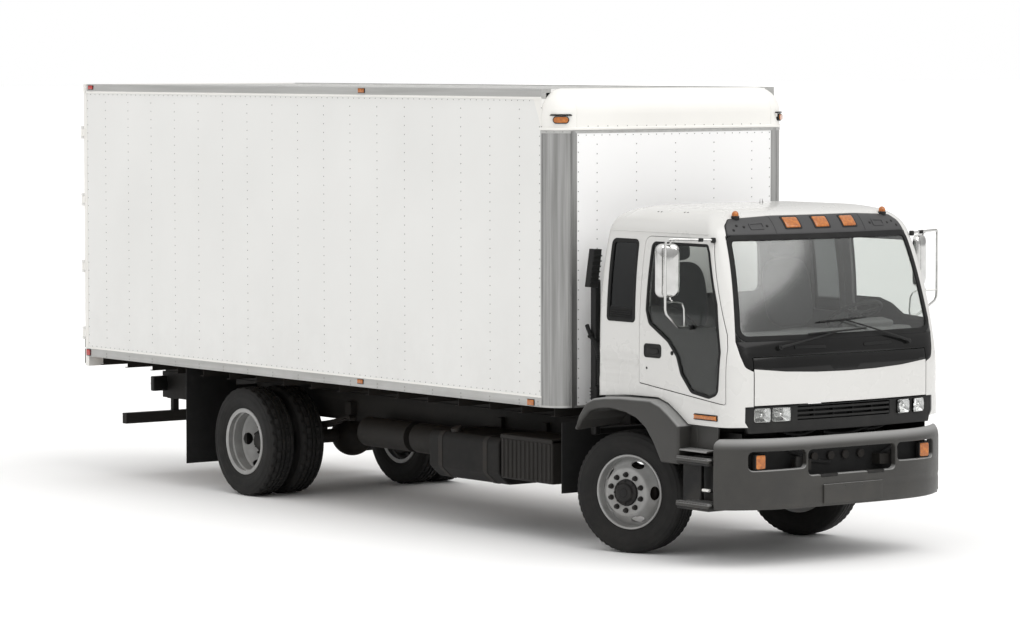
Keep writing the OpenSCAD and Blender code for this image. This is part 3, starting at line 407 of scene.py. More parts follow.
class B:
    def __init__(s):
        s.v, s.f, s.m, s.M = [], [], [], None

    def add(s, vs, fs, mi=0):
        o = len(s.v)
        if s.M is not None:
            vs = [tuple(s.M @ Vector(v)) for v in vs]
        s.v += [tuple(float(c) for c in v) for v in vs]
        s.f += [tuple(int(i) + o for i in f) for f in fs]
        s.m += [mi] * len(fs)

    def rb(s, a, b, r=4, mi=0):
        lo = [min(a[i], b[i]) for i in range(3)]
        hi = [max(a[i], b[i]) for i in range(3)]
        r = min(r, 0.45 * min(hi[i] - lo[i] for i in range(3)))
        vs, ix = [], {}
        for c in range(8):
            for k in range(3):
                p = []
                for i in range(3):
                    e = hi[i] if c >> i & 1 else lo[i]
                    ins = -r if c >> i & 1 else r
                    p.append(e if i == k else e + ins)
                ix[c, k] = len(vs)
                vs.append(p)
        fs = []
        for k in range(3):
            i, j = [q for q in range(3) if q != k]
            for sg in (0, 1):
                base = sg << k
                fs.append([ix[base, k], ix[base | 1 << i, k], ix[base | 1 << i | 1 << j, k], ix[base | 1 << j, k]])
            for a_ in (0, 1):
                for b_ in (0, 1):
                    c0 = a_ << i | b_ << j
                    c1 = c0 | 1 << k
                    fs.append([ix[c0, i], ix[c1, i], ix[c1, j], ix[c0, j]])
        for c in range(8):
            fs.append([ix[c, 0], ix[c, 1], ix[c, 2]])
        s.add(vs, fs, mi)

    def prism(s, pts, axis, t0, t1, ch=3, mi=0, seg=2):
        """An outline extruded along axis x, y or z with rounded ends."""
        pts = [tuple(p) for p in pts]
        if area2(pts) < 0:
            pts = pts[::-1]
        n = len(pts)
        rings = []
        st = [(ch * (1 - math.sin(math.pi / 2 * k / seg)), ch * (1 - math.cos(math.pi / 2 * k / seg)))
              for k in range(seg + 1)]
        for ins, dep in st:
            rings.append((off(pts, ins) if ins > 1e-6 else np.array(pts, float), t0 + dep))
        for ins, dep in st[::-1]:
            rings.append((off(pts, ins) if ins > 1e-6 else np.array(pts, float), t1 - dep))
        vs = []
        for q, t in rings:
            for a, b in q:
                vs.append((t, a, b) if axis == "x" else (a, t, b) if axis == "y" else (a, b, t))
        fs = [list(range(n))[::-1], [(len(rings) - 1) * n + i for i in range(n)]]
        for k in range(len(rings) - 1):
            for i in range(n):
                j = (i + 1) % n
                fs.append([k * n + i, k * n + j, (k + 1) * n + j, (k + 1) * n + i])
        s.add(vs, fs, mi)

    def lathe(s, prof, n=48, mi=0, closed=True, ang=None):
        """prof is (radius, axial) round the X axis through the origin; ang(k, i, r) may change a radius."""
        vs, fs = [], []
        m = len(prof)
        for k in range(n):
            a = 2 * math.pi * k / n
            for i, (r, x) in enumerate(prof):
                rr = ang(k, i, r, x) if ang else r
                vs.append((x, rr * math.cos(a), rr * math.sin(a)))
        for k in range(n):
            q = (k + 1) % n
            for i in range(m if closed else m - 1):
                j = (i + 1) % m
                fs.append([k * m + i, k * m + j, q * m + j, q * m + i])
        if not closed:
            fs.append([k * m for k in range(n)])
            fs.append([k * m + m - 1 for k in range(n)])
        s.add(vs, fs, mi)

    def tube(s, pts, r, n=12, mi=0, closed=False):
        P = [Vector(p) for p in pts]
        m = len(P)
        vs, fs = [], []
        prev = None
        for i, p in enumerate(P):
            a = P[(i - 1) % m] if closed or i else P[0]
            b = P[(i + 1) % m] if closed or i < m - 1 else P[-1]
            t = (b - a).normalized()
            if prev is None:
                ref = Vector((0, 0, 1)) if abs(t.z) < 0.9 else Vector((1, 0, 0))
                u = t.cross(ref).normalized()
            else:
                u = (prev - t * prev.dot(t)).normalized()
            prev = u
            w = t.cross(u)
            rr = r[i] if isinstance(r, (list, tuple)) else r
            for k in range(n):
                c = 2 * math.pi * k / n
                vs.append(p + (u * math.cos(c) + w * math.sin(c)) * rr)
        for i in range(m if closed else m - 1):
            j = (i + 1) % m
            for k in range(n):
                q = (k + 1) % n
                fs.append([i * n + k, i * n + q, j * n + q, j * n + k])
        if not closed:
            fs.append([k for k in range(n)][::-1])
            fs.append([(m - 1) * n + k for k in range(n)])
        s.add([tuple(v) for v in vs], fs, mi)

    def cyl(s, a, b, r, n=24, ch=2, mi=0):
        a, b = Vector(a), Vector(b)
        d = (b - a).normalized()
        L = (b - a).length
        ch = min(ch, r * 0.4, L * 0.4)
        s.tube([a, a + d * ch, b - d * ch, b], [r - ch, r, r, r - ch], n, mi)

    def rivet(s, p, nrm, r=5.5, h=2.6, mi=0, n=8):
        p, nv = Vector(p), Vector(nrm).normalized()
        ref = Vector((0, 0, 1)) if abs(nv.z) < 0.9 else Vector((1, 0, 0))
        u = nv.cross(ref).normalized()
        w = nv.cross(u)
        vs = []
        for rr, hh in ((r, -0.5), (r * 0.72, h * 0.72)):
            for k in range(n):
                a = 2 * math.pi * k / n
                vs.append(p + (u * math.cos(a) + w * math.sin(a)) * rr + nv * hh)
        vs.append(p + nv * h)
        fs = [list(range(n))[::-1]]
        for k in range(n):
            q = (k + 1) % n
            fs.append([k, q, n + q, n + k])
            fs.append([n + k, n + q, 2 * n])
        s.add([tuple(v) for v in vs], fs, mi)

    def make(s, name, body, mats, angle=50, rep=(), merge=0.0, wn=True):
        me = bpy.data.meshes.new(name)
        me.from_pydata([W(v) for v in s.v], [], s.f)
        for m in mats:
            me.materials.append(m)
        me.polygons.foreach_set("material_index", s.m)
        bm = bmesh.new()
        bm.from_mesh(me)
        if merge:
            bmesh.ops.remove_doubles(bm, verts=bm.verts, dist=merge / 1000)
        bmesh.ops.recalc_face_normals(bm, faces=bm.faces)
        bm.to_mesh(me)
        bm.free()
        me.shade_smooth()
        me.set_sharp_from_angle(angle=math.radians(angle))
        ob = bpy.data.objects.new(name, me)
        scene.collection.objects.link(ob)
        if wn:
            md = ob.modifiers.new("weighted", "WEIGHTED_NORMAL")
            md.keep_sharp = True
        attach(ob, body)
        if rep:
            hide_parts(*rep)
        return ob


def panel(b, P, outer, holes=(), T=20, r=3, grid=30, mi=0, lift=0.0, ro=None, mside=None, seg=3, back=True):
    """A curved panel cut to an outline. P maps (u, v) arrays to points and outward normals."""
    loops = []
    for i, L in enumerate([outer, *holes]):
        L = [tuple(p) for p in L]
        if (area2(L) < 0) != (i > 0):
            L = L[::-1]
        loops.append(np.array(L, float))
    rads = [np.full(len(L), float(r)) for L in loops]
    if ro is not None:
        rads[0] = np.array(ro(loops[0]), float)
    ins = [off(L, q) for L, q in zip(loops, rads)]
    lo, hi = ins[0].min(0), ins[0].max(0)
    xs = np.arange(lo[0] + grid * 0.5, hi[0], grid)
    ys = np.arange(lo[1] + grid * 0.5, hi[1], grid)
    G = np.stack(np.meshgrid(xs, ys), -1).reshape(-1, 2)
    if len(G):
        ok = inside(G, ins[0]) & ~near(G, ins[0], grid * 0.45)
        for h in ins[1:]:
            ok &= ~inside(G, h) & ~near(G, h, grid * 0.45)
        G = G[ok]
    verts = [Vector((float(p[0]), float(p[1]))) for L in ins for p in L] + \
            [Vector((float(p[0]), float(p[1]))) for p in G]
    edges, o = [], 0
    for L in ins:
        n = len(L)
        edges += [(o + i, o + (i + 1) % n) for i in range(n)]
        o += n
    vo, _, fo, _, _, _ = delaunay_2d_cdt(verts, edges, [], 0, 1e-5)
    V2 = np.array([(v.x, v.y) for v in vo])
    F = [f for f in fo if len(f) == 3]
    C = np.array([V2[list(f)].mean(0) for f in F])
    ok = inside(C, ins[0])
    for h in ins[1:]:
        ok &= ~inside(C, h)
    F = [f for f, k in zip(F, ok) if k]
    pt, nr = P(V2[:, 0], V2[:, 1])
    b.add(pt + nr * lift, F, mi)
    if back:
        b.add(pt + nr * (lift - T), [f[::-1] for f in F], mi if mside is None else mside)
    for L, q, ri in zip(loops, rads, ins):
        rings = []
        for k in range(seg + 1):
            a = math.pi / 2 * k / seg
            rings.append((off(L, q * (1 - math.sin(a))), q * (1 - math.cos(a))))
        if back:
            rings.append((L, np.full(len(L), T - 0.0) - q * 0.6))
            rings.append((ri, np.full(len(L), float(T))))
        else:
            rings.append((L, np.full(len(L), float(T))))
        n = len(L)
        vs = []
        for c, dep in rings:
            pp, nn = P(c[:, 0], c[:, 1])
            vs.append(pp + nn * (lift - np.asarray(dep))[:, None])
        fs = []
        for k in range(len(rings) - 1):
            for i in range(n):
                j = (i + 1) % n
                fs.append([k * n + i, (k + 1) * n + i, (k + 1) * n + j, k * n + j])
        fm = mi if mside is None else mside
        b.add(np.concatenate(vs), fs[:seg * n], mi)
        b.add(np.concatenate(vs), fs[seg * n:], fm)


def surf(fn, eps=1.0):
    """Turns a point function of (u, v) into one that gives outward normals too."""
    def P(u, v):
        u, v = np.asarray(u, float), np.asarray(v, float)
        p = fn(u, v)
        du = fn(u + eps, v) - fn(u - eps, v)
        dv = fn(u, v + eps) - fn(u, v - eps)
        n = np.cross(du, dv)
        n /= np.maximum(np.linalg.norm(n, axis=1), 1e-9)[:, None]
        return p, n
    return P


def flat(axis, val, sign):
    """A plane: axis is the fixed one, (u, v) the others in order; sign is the outward side."""
    def P(u, v):
        u, v = np.asarray(u, float), np.asarray(v, float)
        c = np.full(len(u), float(val))
        z = np.zeros(len(u))
        s = z + sign
        if axis == "x":
            return np.stack([c, u, v], 1), np.stack([s, z, z], 1)
        if axis == "y":
            return np.stack([u, c, v], 1), np.stack([z, s, z], 1)
        return np.stack([u, v, c], 1), np.stack([z, z, s], 1)
    return P


def rect(x0, x1, y0, y1, r=0, seg=4, step=None):
    p = [(x0, y0), (x1, y0), (x1, y1), (x0, y1)]
    p = rounded(p, r, seg) if r else p
    return dense(p, step) if step else p


# ---------- numbers shared with the CAD ----------
R_T = 488.0
HW = 1219.0
BY0, BY1 = 678.0, 7993.0
BZ, BT = 1111.0, 3674.0
NR = 200.0
PY = BY0 + NR
SEAM = 3336.0
AXY = 90.0
RAY = 5420.0
KX, WOFF, STEER = 775.0, 160.0, 20.6
ROX, DG = 1012.0, 324.0


def mat_front(s):
    m = Matrix.Translation((s * KX, AXY, R_T)) @ Matrix.Rotation(math.radians(STEER), 4, "Z")
    m = m @ Matrix.Translation((s * WOFF, 0, 0))
    return m @ Matrix.Rotation(0 if s > 0 else math.pi, 4, "Z")


def mat_rear(s):
    return Matrix.Translation((s * ROX, RAY, R_T)) @ Matrix.Rotation(0 if s > 0 else math.pi, 4, "Z")


# ---------- tyres ----------
def tyre(b, tread):
    w = 127.0
    half = [(287, 94), (296, 101), (303, 100), (310, 105), (322, 108), (340, 116), (343, 117.5), (347, 117),
            (362, 123), (385, w - 0.5), (402, w), (404, w + 0.0), (408, w - 1.5), (428, 124), (446, 120.5),
            (449, 120.5), (452, 117.5), (466, 113), (474, 110), (481, 105)]
    if tread == "rib":
        half += [(485.5, 98), (486.5, 76), (475, 73), (475, 65), (487.3, 62), (487.5, 34), (474, 31), (474, 23), (488, 20)]
    else:
        half += [(485.5, 98), (486.5, 82), (471, 78), (471, 64), (487, 60), (487.5, 30), (471, 26), (471, 14), (488, 10)]
    full = half + [(r, -x) for r, x in half[::-1]]

    def ang(k, i, r, x):
        a = abs(x)
        if tread == "rib":
            if 480 < r and 96 <= a <= 106 and k % 3 == 0:
                return r - 7
            return r
        if r > 484 and a > 59 and k % 6 in (0, 1):
            return r - 12
        if r > 484 and a <= 61 and k % 6 in (3,):
            return r - 9
        if 478 < r < 486 and a > 97 and k % 6 in (0, 1):
            return r - 9
        return r
    b.lathe(full, 180, 0, True, ang)


def make_tyres(name, mats_m, body, node, tread):
    b = B()
    for m in mats_m:
        b.M = m
        tyre(b, tread)
    return b.make(name, body, [TYRE], angle=40, rep=(node,), wn=False)


def rim_disc(b, mi=0, hole_r=(48, 42), nuts=True, hubmi=1, deep=False):
    """Rim barrel, dished disc with five hand holes, ten nuts; the hub face looks towards +X."""
    w = 108.0
    b.lathe([(262, -w + 4), (290, -w - 0.0), (296, -w - 0.4), (298.5, -w + 4), (298.5, -w + 10), (294, -w + 12),
             (286, -w + 15), (284, -60), (272, -48), (272, 48), (284, 60), (286, w - 15), (294, w - 12),
             (298.5, w - 10), (298.5, w - 4), (296, w + 0.4), (290, w), (283, w - 3), (279, w - 12), (276, w - 26),
             (274, 64), (270, 56), (262.5, 46), (262, -44), (274, -52)], 72, mi)
    prof = [(106, 150), (150, 150), (176, 149.5), (186, 146), (196, 136), (208, 119), (224, 98), (238, 82), (250, 66),
            (257, 56), (266, 50)]
    pr = np.array(prof, float)
    sl = np.concatenate([[0], np.cumsum(np.hypot(np.diff(pr[:, 0]), np.diff(pr[:, 1])))])

    def fn(u, v):
        rr = np.interp(v, sl, pr[:, 0])
        xx = np.interp(v, sl, pr[:, 1])
        a = u / 220.0
        return np.stack([xx, rr * np.cos(a), rr * np.sin(a)], 1)

    def P(u, v):
        p, n = surf(fn, 2.0)(u, v)
        return p, n * np.where(n[:, 0] < 0, -1, 1)[:, None]
    seg_u = 2 * math.pi / 5 * 220
    vm = float(np.interp(231, pr[:, 0], sl))
    for i in range(5):
        u0 = (i - 0.5) * seg_u
        outer = dense([(u0, 1.0), (u0 + seg_u, 1.0), (u0 + seg_u, sl[-1]), (u0, sl[-1])], 9)
        c = u0 + seg_u / 2
        hole = [(c + hole_r[0] * math.cos(t) * 1.12, vm + hole_r[1] * math.sin(t))
                for t in np.linspace(0, 2 * math.pi, 33)[:-1]]
        panel(b, P, outer, [hole], T=13, r=3.0, grid=11, mi=mi, ro=lambda L: np.full(len(L), 0.01))
    if nuts:
        for i in range(10):
            a = 2 * math.pi * (i + 0.5) / 10
            y, z = 142 * math.cos(a), 142 * math.sin(a)
            hexa = [(y + 18 * math.cos(t + a), z + 18 * math.sin(t + a)) for t in np.linspace(0, 2 * math.pi, 7)[:-1]]
            b.cyl((149, y, z), (156, y, z), 22, 20, 2, hubmi)
            b.prism(hexa, "x", 155, 179, 2.5, hubmi)
            b.cyl((178, y, z), (190 if deep else 186, y, z), 10.5, 14, 2, hubmi)


def front_wheel(s, side):
    b = B()
    b.M = mat_front(s)
    rim_disc(b, 0)
    # hub drum, cap and brake drum
    b.lathe([(0.01, 120), (104, 120), (104, 163), (100, 168), (88, 171), (80, 176), (74, 186), (70, 194), (60, 199),
             (40, 201), (36, 206), (22, 208), (0.01, 208)], 48, 1, False)
    for i in range(8):
        a = 2 * math.pi * i / 8
        y, z = 94 * math.cos(a), 94 * math.sin(a)
        hexa = [(y + 8.5 * math.cos(t), z + 8.5 * math.sin(t)) for t in np.linspace(0, 2 * math.pi, 7)[:-1]]
        b.prism(hexa, "x", 168, 177, 1.2, 1, 1)
    b.lathe([(60, -88), (198, -88), (205, -80), (205, -20), (199, -14), (199, 20), (205, 26), (200, 34), (110, 38),
             (60, 38)], 64, 2)
    b.lathe([(36.5, -86), (62, -86), (62, 130), (36.5, 130)], 32, 2)
    return b.make("wheel_front_" + side, "wheel_front_" + side, [WHEEL, HUBB, IRON], angle=40,
                  rep=("wheel_front_" + side,), merge=0.02)


def rear_wheels(s, side):
    b = B()
    base = mat_rear(s)
    b.M = base @ Matrix.Rotation(math.pi, 4, "Z")
    rim_disc(b, 0, nuts=False)
    b.M = base @ Matrix.Translation((-DG, 0, 0))
    rim_disc(b, 0, nuts=False)
    b.M = base
    for i in range(10):
        a = 2 * math.pi * (i + 0.5) / 10
        y, z = 142 * math.cos(a), 142 * math.sin(a)
        hexa = [(y + 19 * math.cos(t + a), z + 19 * math.sin(t + a)) for t in np.linspace(0, 2 * math.pi, 7)[:-1]]
        b.cyl((-137, y, z), (-129, y, z), 23, 20, 2, 1)
        b.prism(hexa, "x", -130, -106, 2.5, 1)
        b.cyl((-107, y, z), (-92, y, z), 10.5, 14, 2, 1)
    b.lathe([(46.5, -300), (109, -300), (109, -104), (104, -98), (94, -96), (92, -64), (86, -58), (70, -56), (70, -44),
             (64, -38), (30, -36), (0.01, -36), (0.01, -118), (46.5, -118)], 48, 1)
    for i in range(8):
        a = 2 * math.pi * i / 8
        y, z = 80 * math.cos(a), 80 * math.sin(a)
        hexa = [(y + 9 * math.cos(t), z + 9 * math.sin(t)) for t in np.linspace(0, 2 * math.pi, 7)[:-1]]
        b.prism(hexa, "x", -60, -48, 1.5, 1, 1)
    b.lathe([(64, -430), (198, -430), (205, -422), (205, -310), (198, -302), (109, -300), (64, -300)], 64, 2)
    return b.make("wheels_rear_" + side + "_shown", "wheels_rear_" + side, [WHEEL, HUBB, IRON],
                  angle=40, rep=("wheels_rear_" + side,), merge=0.02)


for s_, side_ in ((1, "left"), (-1, "right")):
    make_tyres("tyre_front_%s_tread" % side_, [mat_front(s_)], "wheel_front_" + side_, "tyre_front_" + side_, "rib")
    mr_ = mat_rear(s_)
    make_tyres("tyres_rear_%s_tread" % side_, [mr_, mr_ @ Matrix.Translation((-DG, 0, 0))], "wheels_rear_" + side_,
               "tyres_rear_" + side_, "lug")
    front_wheel(s_, side_)
    rear_wheels(s_, side_)

# ---------- cab surface ----------
ROWS = np.array([
    [1020, 1096, 296, -1190, 900, -1372, -1432],
    [1250, 1099, 299, -1190, 900, -1372, -1433],
    [1480, 1100, 300, -1190, 900, -1372, -1432],
    [1745, 1098, 300, -1165, 930, -1318, -1404],
    [2560, 1018, 270, -965, 860, -1076, -1160],
    [2660, 960, 240, -900, 780, -1010, -1090],
    [2720, 860, 170, -800, 680, -920, -990],
    [2756, 640, 20, -620, 500, -700, -760],
    [2764, 330, -130, -480, 260, -520, -560],
    [2766, 6, -280, -400, 4, -402, -405]], float)
_vl = [1020.0]
for _a, _b in zip(ROWS, ROWS[1:]):
    _vl.append(_vl[-1] + float(math.hypot(_b[0] - _a[0], _b[1] - _a[1])))
VL = np.array(_vl)
VMAX = float(VL[-1])


def pchip(x, y):
    h, d = np.diff(x), np.diff(y) / np.diff(x)
    m = np.zeros(len(x))
    for i in range(1, len(x) - 1):
        if d[i - 1] * d[i] > 0:
            w1, w2 = 2 * h[i] + h[i - 1], h[i] + 2 * h[i - 1]
            m[i] = (w1 + w2) / (w1 / d[i - 1] + w2 / d[i])
    m[0], m[-1] = d[0], d[-1]

    def f(q):
        q = np.clip(q, x[0], x[-1])
        i = np.clip(np.searchsorted(x, q) - 1, 0, len(x) - 2)
        t = (q - x[i]) / h[i]
        return ((2 * t ** 3 - 3 * t ** 2 + 1) * y[i] + (t ** 3 - 2 * t ** 2 + t) * h[i] * m[i]
                + (-2 * t ** 3 + 3 * t ** 2) * y[i + 1] + (t ** 3 - t ** 2) * h[i] * m[i + 1])
    return f


ROWF = [pchip(VL, ROWS[:, i]) for i in range(7)]
_vt = np.linspace(1020, VMAX, 4000)
_zt = ROWF[0](_vt)


def v_of_z(z):
    return np.interp(z, _zt, _vt)


US = [0.0, 930.0, 1180.0, 2630.0, 2690.0]


def smooth(x, a, b):
    t = np.clip((x - a) / (b - a), 0, 1)
    return t * t * (3 - 2 * t)


def cab_fn(u, v):
    u, v = np.asarray(u, float), np.asarray(v, float)
    z, w, ya, ys, xc, yc, yf = [f(v) for f in ROWF]
    a = np.abs(u)
    yq = yc + (w - xc) * (yc - yf) / (xc / 2)
    t1 = np.clip(a / 930, 0, 1)
    x1 = 2 * t1 * (1 - t1) * xc / 2 + t1 * t1 * xc
    y1 = (1 - t1) ** 2 * yf + 2 * t1 * (1 - t1) * yf + t1 * t1 * yc
    t2 = np.clip((a - 930) / 250, 0, 1)
    x2 = (1 - t2) ** 2 * xc + 2 * t2 * (1 - t2) * w + t2 * t2 * w
    y2 = (1 - t2) ** 2 * yc + 2 * t2 * (1 - t2) * yq + t2 * t2 * ys
    t3 = np.clip((a - 1180) / 1450, 0, 1)
    y3 = ys + (ya - 40 - ys) * t3
    t4 = np.clip((a - 2630) / 60, 0, 1)
    k = np.minimum(40, w * 0.5)
    x4 = (1 - t4) ** 2 * w + 2 * t4 * (1 - t4) * w + t4 * t4 * (w - k)
    y4 = (1 - t4) ** 2 * (ya - 40) + 2 * t4 * (1 - t4) * ya + t4 * t4 * ya
    x = np.where(a < 930, x1, np.where(a < 1180, x2, np.where(a < 2630, w, x4)))
    y = np.where(a < 930, y1, np.where(a < 1180, y2, np.where(a < 2630, y3, y4)))
    # flank relief: the lower skirt stands proud, the quarter panel has a scallop
    side = smooth(a, 960, 1200)
    sk = 16 * (1 - smooth(z, skirt_z(y) - 14, skirt_z(y) + 2)) * side
    sc = -26 * smooth(z, 1490, 1512) * (1 - smooth(z, 1545, 1618)) * smooth(y, -212, -196) * (1 - smooth(y, 262, 288)) * side
    x = x + (sk + sc) * np.where(a < 2630, 1, 0.3)
    return np.stack([np.where(u < 0, -x, x), y, z], 1)


def skirt_z(y):
    """Height of the crease over the skirt along the cab's side."""
    return np.interp(y, [-1400, -1290, -225, -180, 300], [1245, 1262, 1376, 1392, 1412])


CAB = surf(cab_fn)
_ug = np.concatenate([np.linspace(0, 930, 200), np.linspace(930, 1180, 160)[1:], np.linspace(1180, 2690, 260)[1:]])


def from_side(pts, step=22, closed=True, s=1):
    """A (y, z) outline on the cab's side as (u, v)."""
    out = []
    for y, z in dense(pts, step, closed):
        v = float(v_of_z(z))
        p = cab_fn(_ug[100:], np.full(len(_ug) - 100, v))
        out.append((s * float(np.interp(y, p[:, 1], _ug[100:])), v))
    return out


def from_front(pts, step=25, closed=True):
    """An (x, z) outline on the cab's front as (u, v)."""
    out = []
    for x, z in dense(pts, step, closed):
        v = float(v_of_z(z))
        n = 359
        p = cab_fn(_ug[:n], np.full(n, v))
        out.append((math.copysign(float(np.interp(abs(x), p[:, 0], _ug[:n])), x), v))
    return out


# outlines, (y, z)
DOOR = rounded([(-225, 1378), (-225, 2525), (-1032, 2528), (-1056, 2440), (-1250, 1800), (-1264, 1700), (-1264, 1268)],
               [16, 60, 25, 60, 60, 60, 14], 5)
DWIN = rounded([(-318, 2478), (-985, 2478), (-1018, 2420), (-1150, 2030), (-1208, 1670), (-1184, 1346), (-1080, 1312),
                (-870, 1342), (-745, 1475), (-692, 1610), (-580, 1722), (-345, 1850), (-306, 1950)],
               [38, 30, 60, 80, 80, 60, 60, 70, 80, 80, 80, 60, 60], 4)
QWIN = rounded([(185, 1852), (185, 2490), (-140, 2490), (-160, 1852)], [28, 42, 42, 28], 5)
# outlines, (x, z)
WS = rounded([(-1003, 1752), (1003, 1752), (920, 2548), (-920, 2548)], [95, 95, 70, 70], 7)
VIS = rounded([(-912, 2552), (912, 2552), (890, 2625), (826, 2674), (430, 2692), (-430, 2692), (-826, 2674),
               (-890, 2625)], [14, 14, 50, 50, 200, 200, 50, 50], 4)
LIDX, LZ0, LZ1 = 885, 1256, 1624
COWL = rounded([(-1005, 1748), (-985, 1640), (-962, 1560), (-892, 1530), (-892, 1630), (892, 1630), (892, 1530),
                (962, 1560), (985, 1640), (1005, 1748)], [6, 60, 50, 12, 3, 3, 12, 50, 60, 6], 4)


def skirt_pts():
    return [(300, 1240), (240, 1246), (-100, 1272), (-480, 1276), (-606, 1240), (-712, 1182), (-848, 1094),
            (-1420, 1090)]


def cab_shell():
    b = B()
    # the outer border of the shell, from the left rear corner down, round the notch in the front, to the right
    sk = from_side(skirt_pts()[:-1] + [(-1300, 1092)], 22, False)
    low = [(2690, sk[0][1])] + sk
    notch_r = from_front([(940, 1091), (966, 1130), (964, 1249), (892, 1249), (892, 1520)], 22, False)
    corner = from_front(rounded([(892, 1520), (962, 1552), (990, 1640), (1010, 1750), (925, 2548), (917, 2552),
                                 (897, 2627), (829, 2678), (432, 2697), (0, 2697)],
                                [0, 55, 60, 10, 2, 2, 50, 60, 200, 0], 4), 24, False)
    half = low + notch_r + corner[1:]
    left = [(-u, v) for u, v in half[::-1]]
    outer = half + left[1:] if abs(half[-1][0]) < 1e-6 else half + left
    outer = outer + dense([(-2690, half[0][1]), (-2690, VMAX - 3)], 40, False)[1:]
    outer = outer + dense([(-2690, VMAX - 3), (2690, VMAX - 3)], 40, False)[1:]
    outer = outer + dense([(2690, VMAX - 3), (2690, half[0][1])], 40, False)[1:-1]
    holes = []
    for s in (1, -1):
        holes.append([(s * u, v) for u, v in from_side(np.asarray(off(ccw(DOOR), -3.2)).tolist(), 20)])
        holes.append([(s * u, v) for u, v in from_side(QWIN, 20)])

    def ro(L):
        return np.where((np.abs(L[:, 0]) > 2680) | (L[:, 1] > VMAX - 10), 0.02, 3.5)
    panel(b, CAB, outer, holes, T=42, r=3.5, grid=30, mi=0, ro=ro, mside=1)

    # back wall with its window
    def bf(u, v):
        z, w, ya = ROWF[0](v), ROWF[1](v), ROWF[2](v)
        return np.stack([-u / 1000 * np.maximum(w - np.minimum(40, w * 0.5), 1), ya, z], 1)
    PB = surf(bf)
    wv = v_of_z(np.array([2020.0, 2440.0]))
    win = rect(-530, 530, float(wv[0]), float(wv[1]), 60, 5, 24)
    panel(b, PB, dense([(-1000, half[0][1]), (1000, half[0][1]), (1000, VMAX - 3), (-1000, VMAX - 3)], 40), [win],
          T=42, r=3, grid=42, mi=0, ro=lambda L: np.full(len(L), 0.02), mside=1)
    ob = b.make("cab_shell_painted", "cab", [WHITE, INT], angle=45, rep=("cab_shell",), merge=0.05,
                wn=False)
    return ob


def ccw(p):
    p = [tuple(q) for q in p]
    return p if area2(p) > 0 else p[::-1]


def grow(p, d):
    return np.asarray(off(ccw(p), -d)).tolist()


cab_shell()

